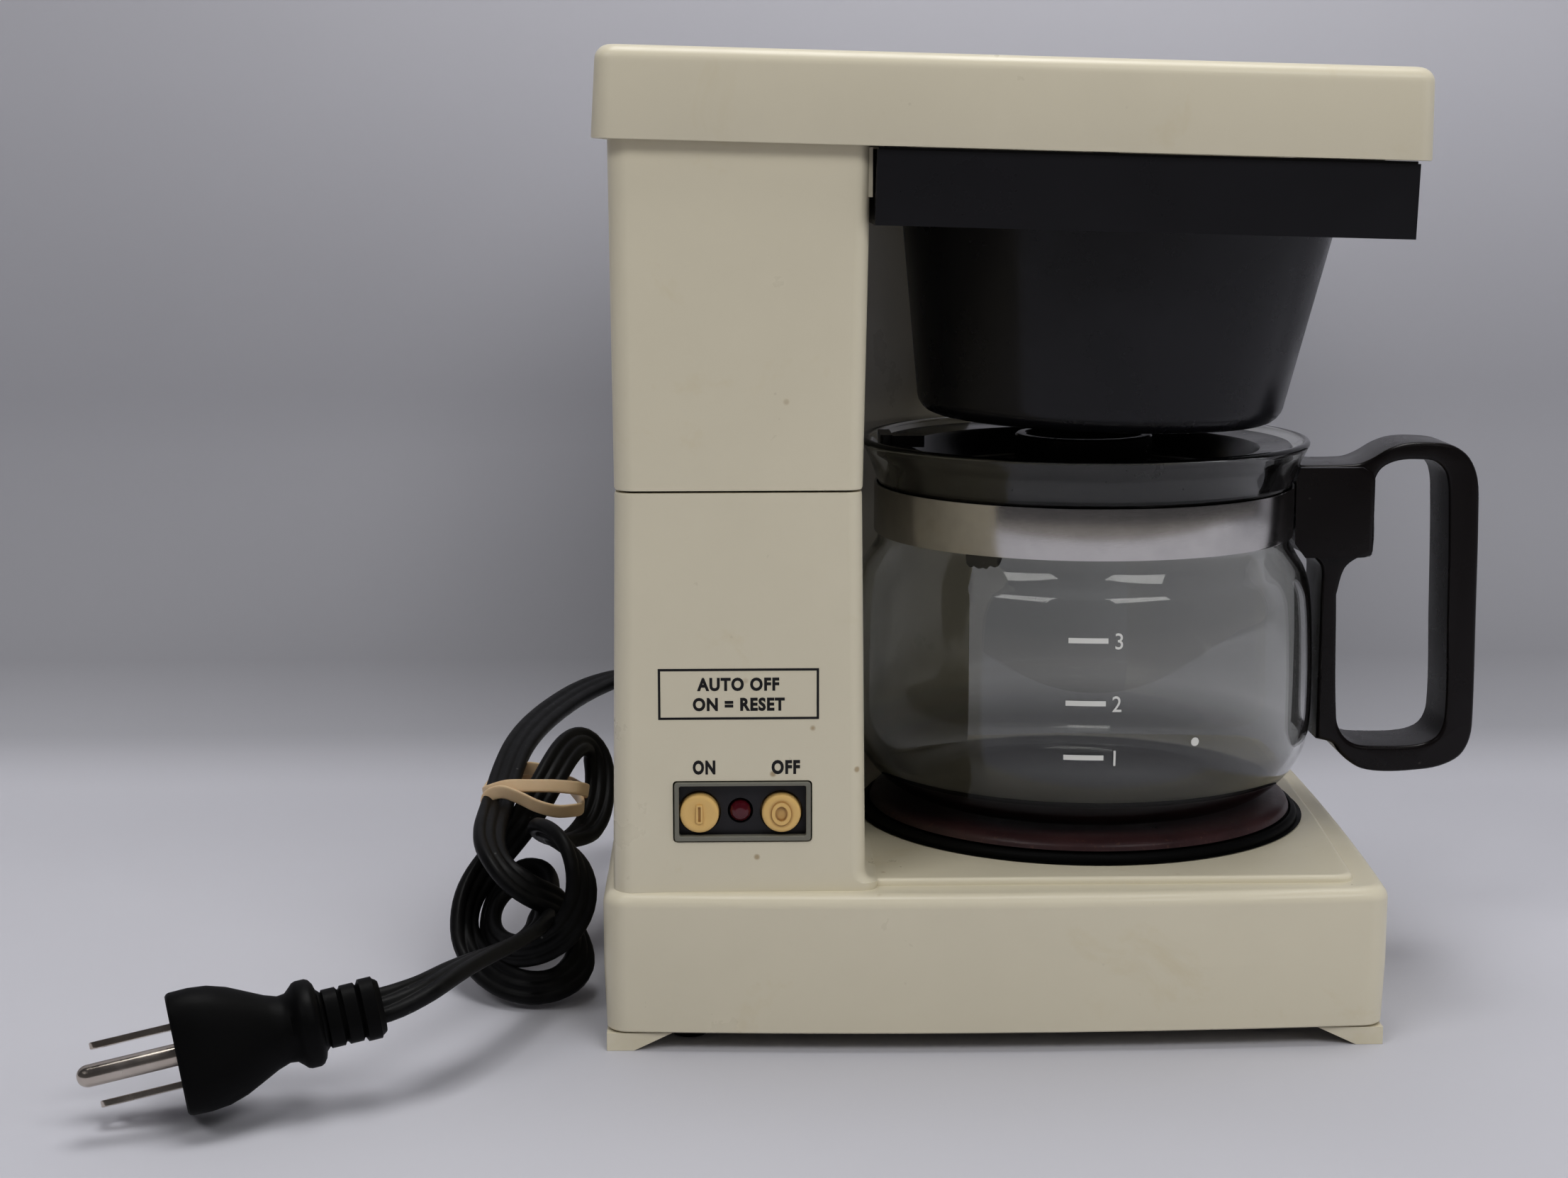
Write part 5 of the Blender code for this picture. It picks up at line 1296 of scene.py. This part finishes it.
def plug():
    key = [(0.0, 11.5, 12.7, 4.6), (-0.4, 12.0, 13.2, 4.5), (-1.0, 12.2, 13.4, 4.4), (-5.0, 12.3, 13.5, 4.0), (-9.0, 12.0, 13.1, 3.5),
           (-13.0, 11.2, 11.9, 2.8), (-17.0, 9.8, 10.0, 2.5), (-20.5, 8.4, 8.3, 2.3), (-23.2, 7.6, 7.4, 2.1), (-24.9, 7.7, 7.6, 2.1),
           (-26.0, 8.6, 8.6, 2.0), (-26.8, 9.4, 9.4, 2.0), (-27.6, 9.7, 9.7, 2.0), (-29.6, 9.7, 9.7, 2.0), (-30.4, 9.3, 9.3, 2.0),
           (-31.1, 8.3, 8.3, 2.05), (-31.5, 7.0, 6.9, 2.1), (-32.0, 6.6, 6.4, 2.2)]
    rib = []
    s = -32.4
    for hn, hb in ((5.75, 6.5), (5.7, 6.5), (6.0, 6.9)):
        rib += [(s, hn * 0.92, hb * 0.92, 2.6), (s - 0.3, hn, hb, 2.8), (s - 3.2, hn, hb, 2.8), (s - 3.5, hn * 0.92, hb * 0.92, 2.6),
                (s - 3.75, hn * 0.89, hb * 0.89, 2.5)]
        s -= 4.05
    rib = rib[:-1] + [(-44.6, 5.2, 6.0, 2.5), (-45.0, 4.8, 5.6, 2.4)]
    bm = bmesh.new()
    loft(bm, [plug_section(*r) for r in key + rib])
    pb = new_obj("plug_housing", bm, "rubber", "machine", tf=plug_tf)
    for s in (1, -1):
        cut(pb, box("c", -6.0, 3.0, -5.5 - 3.45, -5.5 + 3.45, s * 6.35 - 1.05, s * 6.35 + 1.05, tf=plug_tf))
    cut(pb, cyl("c", (-6.0, 6.4, 0), 2.7, 9.0, axis="x", n=32, tf=plug_tf))
    smooth(pb, 34)
    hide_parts("plug_body")
    out = [pb]
    for nm, s in (("upper", 1), ("lower", -1)):
        zc = s * 6.35
        poly = fillet([(-5.6, -8.65), (17.6, -8.65), (17.6, -2.35), (-5.6, -2.35)], [0, 1.6, 1.6, 0], 6)
        bm = bmesh.new()
        loft(bm, [[(a, b, z) for a, b in poly] for z in (zc - 0.75, zc + 0.75)])
        bl = new_obj("blade_" + nm, bm, "nickel", "machine", tf=plug_tf)
        cut(bl, cyl("c", (13.6, -5.5, zc - 3.0), 1.6, 6.0, axis="z", n=28, tf=plug_tf))
        soften(bl, 0.22, 2, 40)
        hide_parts("plug_blade_" + nm)
        out.append(bl)
    tip = [(18.4 + 2.6 * math.sin(t), 2.4 * math.cos(t) ** 0.9 + 0.02) for t in [math.pi / 2 * k / 8 for k in range(9)]]
    gp = lathe("pin_ground", (0, 6.4, 0), [(-5.6, 2.4), (18.4, 2.4)] + tip[1:], "nickel", "machine", axis="x", n=40, tf=plug_tf)
    smooth(gp, 50)
    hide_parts("plug_ground_pin")
    out.append(gp)
    return out


plug_parts = plug()

# ------------------------------------------------------------ stage, lights and camera
def stage():
    bm = bmesh.new()
    prof = [(-531, 0)]
    prof += [(y, 0) for y in (-400, 0, 180, 240)]
    R = 130.0
    prof += [(240 + R * math.sin(t), R - R * math.cos(t)) for t in [math.radians(86) * k / 20 for k in range(1, 21)]]
    e = prof[-1]
    prof.append((e[0] + 80, e[1] + 1150))
    rows = [[bm.verts.new((x, y, z)) for y, z in prof] for x in (-2500, 2700)]
    for i in range(len(prof) - 1):
        bm.faces.new((rows[0][i], rows[1][i], rows[1][i + 1], rows[0][i + 1]))
    for v in bm.verts:
        v.co = T(tuple(v.co))
    me = bpy.data.meshes.new("backdrop")
    bm.to_mesh(me)
    bm.free()
    ob = bpy.data.objects.new("backdrop", me)
    bpy.context.scene.collection.objects.link(ob)
    for p in me.polygons:
        p.use_smooth = True
    m, nt, b = nt_new("paper_backdrop")
    v = coords(nt)
    n1 = noise(nt, v, 7, 3, 0.5)
    paper = mixc(nt, n1, (0.56, 0.56, 0.605), (0.59, 0.59, 0.635))
    sx = node(nt, "ShaderNodeSeparateXYZ")
    nt.links.new(v, sx.inputs[0])
    # painted light: the floor is drawn brightest, the foot of the wall darkest, and the wall lighter again higher up,
    # standing in for how the light falls
    painted_height_shade = ramp(nt, math_n(nt, "ADD", math_n(nt, "MULTIPLY", sx.outputs["Z"], 2.0), 0.1), [(0.10, 1.0), (0.12, 0.66), (0.16, 0.50), (0.30, 0.66), (0.57, 0.78), (1.0, 0.86)])
    # painted light: a pool of brighter colour on the wall, centred about 330 mm up, above the machine
    glow = node(nt, "ShaderNodeVectorMath", operation="LENGTH")
    mp = node(nt, "ShaderNodeMapping")
    mp.inputs["Location"].default_value = (-0.05, 0.0, -1.05)
    mp.inputs["Scale"].default_value = (1.6, 0.0, 3.2)
    nt.links.new(v, mp.inputs["Vector"])
    nt.links.new(mp.outputs["Vector"], glow.inputs[0])
    painted_light_pool = ramp(nt, glow.outputs["Value"], [(0.0, 1.0), (0.80, 0.0)], "EASE")
    shade = math_n(nt, "ADD", painted_height_shade, math_n(nt, "MULTIPLY", painted_light_pool, 0.42))
    # painted shadow: a soft dark blob on the floor and wall close behind the machine, down to 0.42 at its core
    near = node(nt, "ShaderNodeVectorMath", operation="LENGTH")
    mp = node(nt, "ShaderNodeMapping")
    mp.inputs["Location"].default_value = (0.07, -1.62, -0.40)
    mp.inputs["Scale"].default_value = (4.6, 6.0, 5.6)
    nt.links.new(v, mp.inputs["Vector"])
    nt.links.new(mp.outputs["Vector"], near.inputs[0])
    painted_shadow = ramp(nt, near.outputs["Value"], [(0.04, 0.42), (1.0, 1.0)], "EASE")
    shade = math_n(nt, "MULTIPLY", shade, painted_shadow)
    nt.links.new(mixc(nt, 1.0, paper, shade, "MULTIPLY"), b.inputs["Base Color"])
    b.inputs["Roughness"].default_value = 0.62
    b.inputs["Specular IOR Level"].default_value = 0.2
    me.materials.append(m)


stage()


def area(name, loc, target, size, energy, color=(1, 1, 1), size_y=None):
    l = bpy.data.lights.new(name, "AREA")
    l.energy = energy
    l.color = color
    l.shape = "RECTANGLE"
    l.size = size
    l.size_y = size_y or size
    o = bpy.data.objects.new(name, l)
    o.location = loc
    d = Vector(target) - Vector(loc)
    o.rotation_euler = d.to_track_quat("-Z", "Y").to_euler()
    bpy.context.scene.collection.objects.link(o)
    return o


# the large lights shape the matt surfaces; the thin ones are only there to be mirrored in the glass and the steel
for o in (area("key_left", (-0.95, -1.08, 1.34), (0.0, 0.02, 0.10), 0.9, 6.5, (1.0, 0.995, 0.985), 0.5),
          area("key_right", (0.66, -1.27, 1.34), (0.0, 0.02, 0.10), 0.9, 7.4, (1.0, 0.995, 0.985), 0.5),
          area("side_right", (1.25, -0.60, 0.40), (0.0, 0.02, 0.10), 0.8, 2.6, (0.99, 0.995, 1.0), 0.6)):
    o.visible_glossy = False
    o.visible_transmission = o.name != "side_right"
area("top_soft", (0.05, 0.02, 2.0), (0.0, 0.05, 0.0), 1.1, 16.6, (1.0, 0.998, 0.99), 0.9)
for o in (area("strip_left", (-0.95, -1.08, 1.34), (0.0, 0.02, 0.10), 0.8, 2.6, (1.0, 1.0, 1.0), 0.09),
          area("strip_right", (0.66, -1.27, 1.34), (0.0, 0.02, 0.10), 0.7, 2.2, (1.0, 1.0, 1.0), 0.08)):
    o.visible_diffuse = False

w = bpy.data.worlds.new("world")
bpy.context.scene.world = w
w.use_nodes = True
bg = w.node_tree.nodes["Background"]
wn = w.node_tree
tc = wn.nodes.new("ShaderNodeTexCoord")
sep = wn.nodes.new("ShaderNodeSeparateXYZ")
wn.links.new(tc.outputs["Generated"], sep.inputs[0])
room = ramp(wn, math_n(wn, "ADD", math_n(wn, "MULTIPLY", sep.outputs["Z"], 0.5), 0.5),
            [(0.35, (0.20, 0.185, 0.17)), (0.455, (0.26, 0.245, 0.235)), (0.52, (0.085, 0.083, 0.085)), (1.0, (0.045, 0.045, 0.05))])
wn.links.new(room, bg.inputs["Color"])
bg.inputs["Strength"].default_value = 1.0

sc = bpy.context.scene
sc.view_settings.view_transform = "Standard"
sc.view_settings.look = "Medium High Contrast"
cam = bpy.data.cameras.new("camera")
cam.lens = 36.0 * 3600.0 / 2212.0
cam.sensor_width = 36.0
cam.sensor_fit = "HORIZONTAL"
cam.clip_start = 0.02
psi, th, phi = 2.02296155e-02, 1.69468491e-01, 1.77641748e-03
F = Vector((math.sin(psi) * math.cos(th), math.cos(psi) * math.cos(th), -math.sin(th)))
R = Vector((math.cos(psi), -math.sin(psi), 0))
D = F.cross(R)
R2 = R * math.cos(phi) + D * math.sin(phi)
D2 = -R * math.sin(phi) + D * math.cos(phi)
co = bpy.data.objects.new("camera", cam)
rot = Matrix((R2, -D2, -F)).transposed()
co.matrix_world = Matrix.Translation(T((31.3750106, -572.200241, 207.891539))) @ rot.to_4x4()
sc.collection.objects.link(co)
sc.camera = co
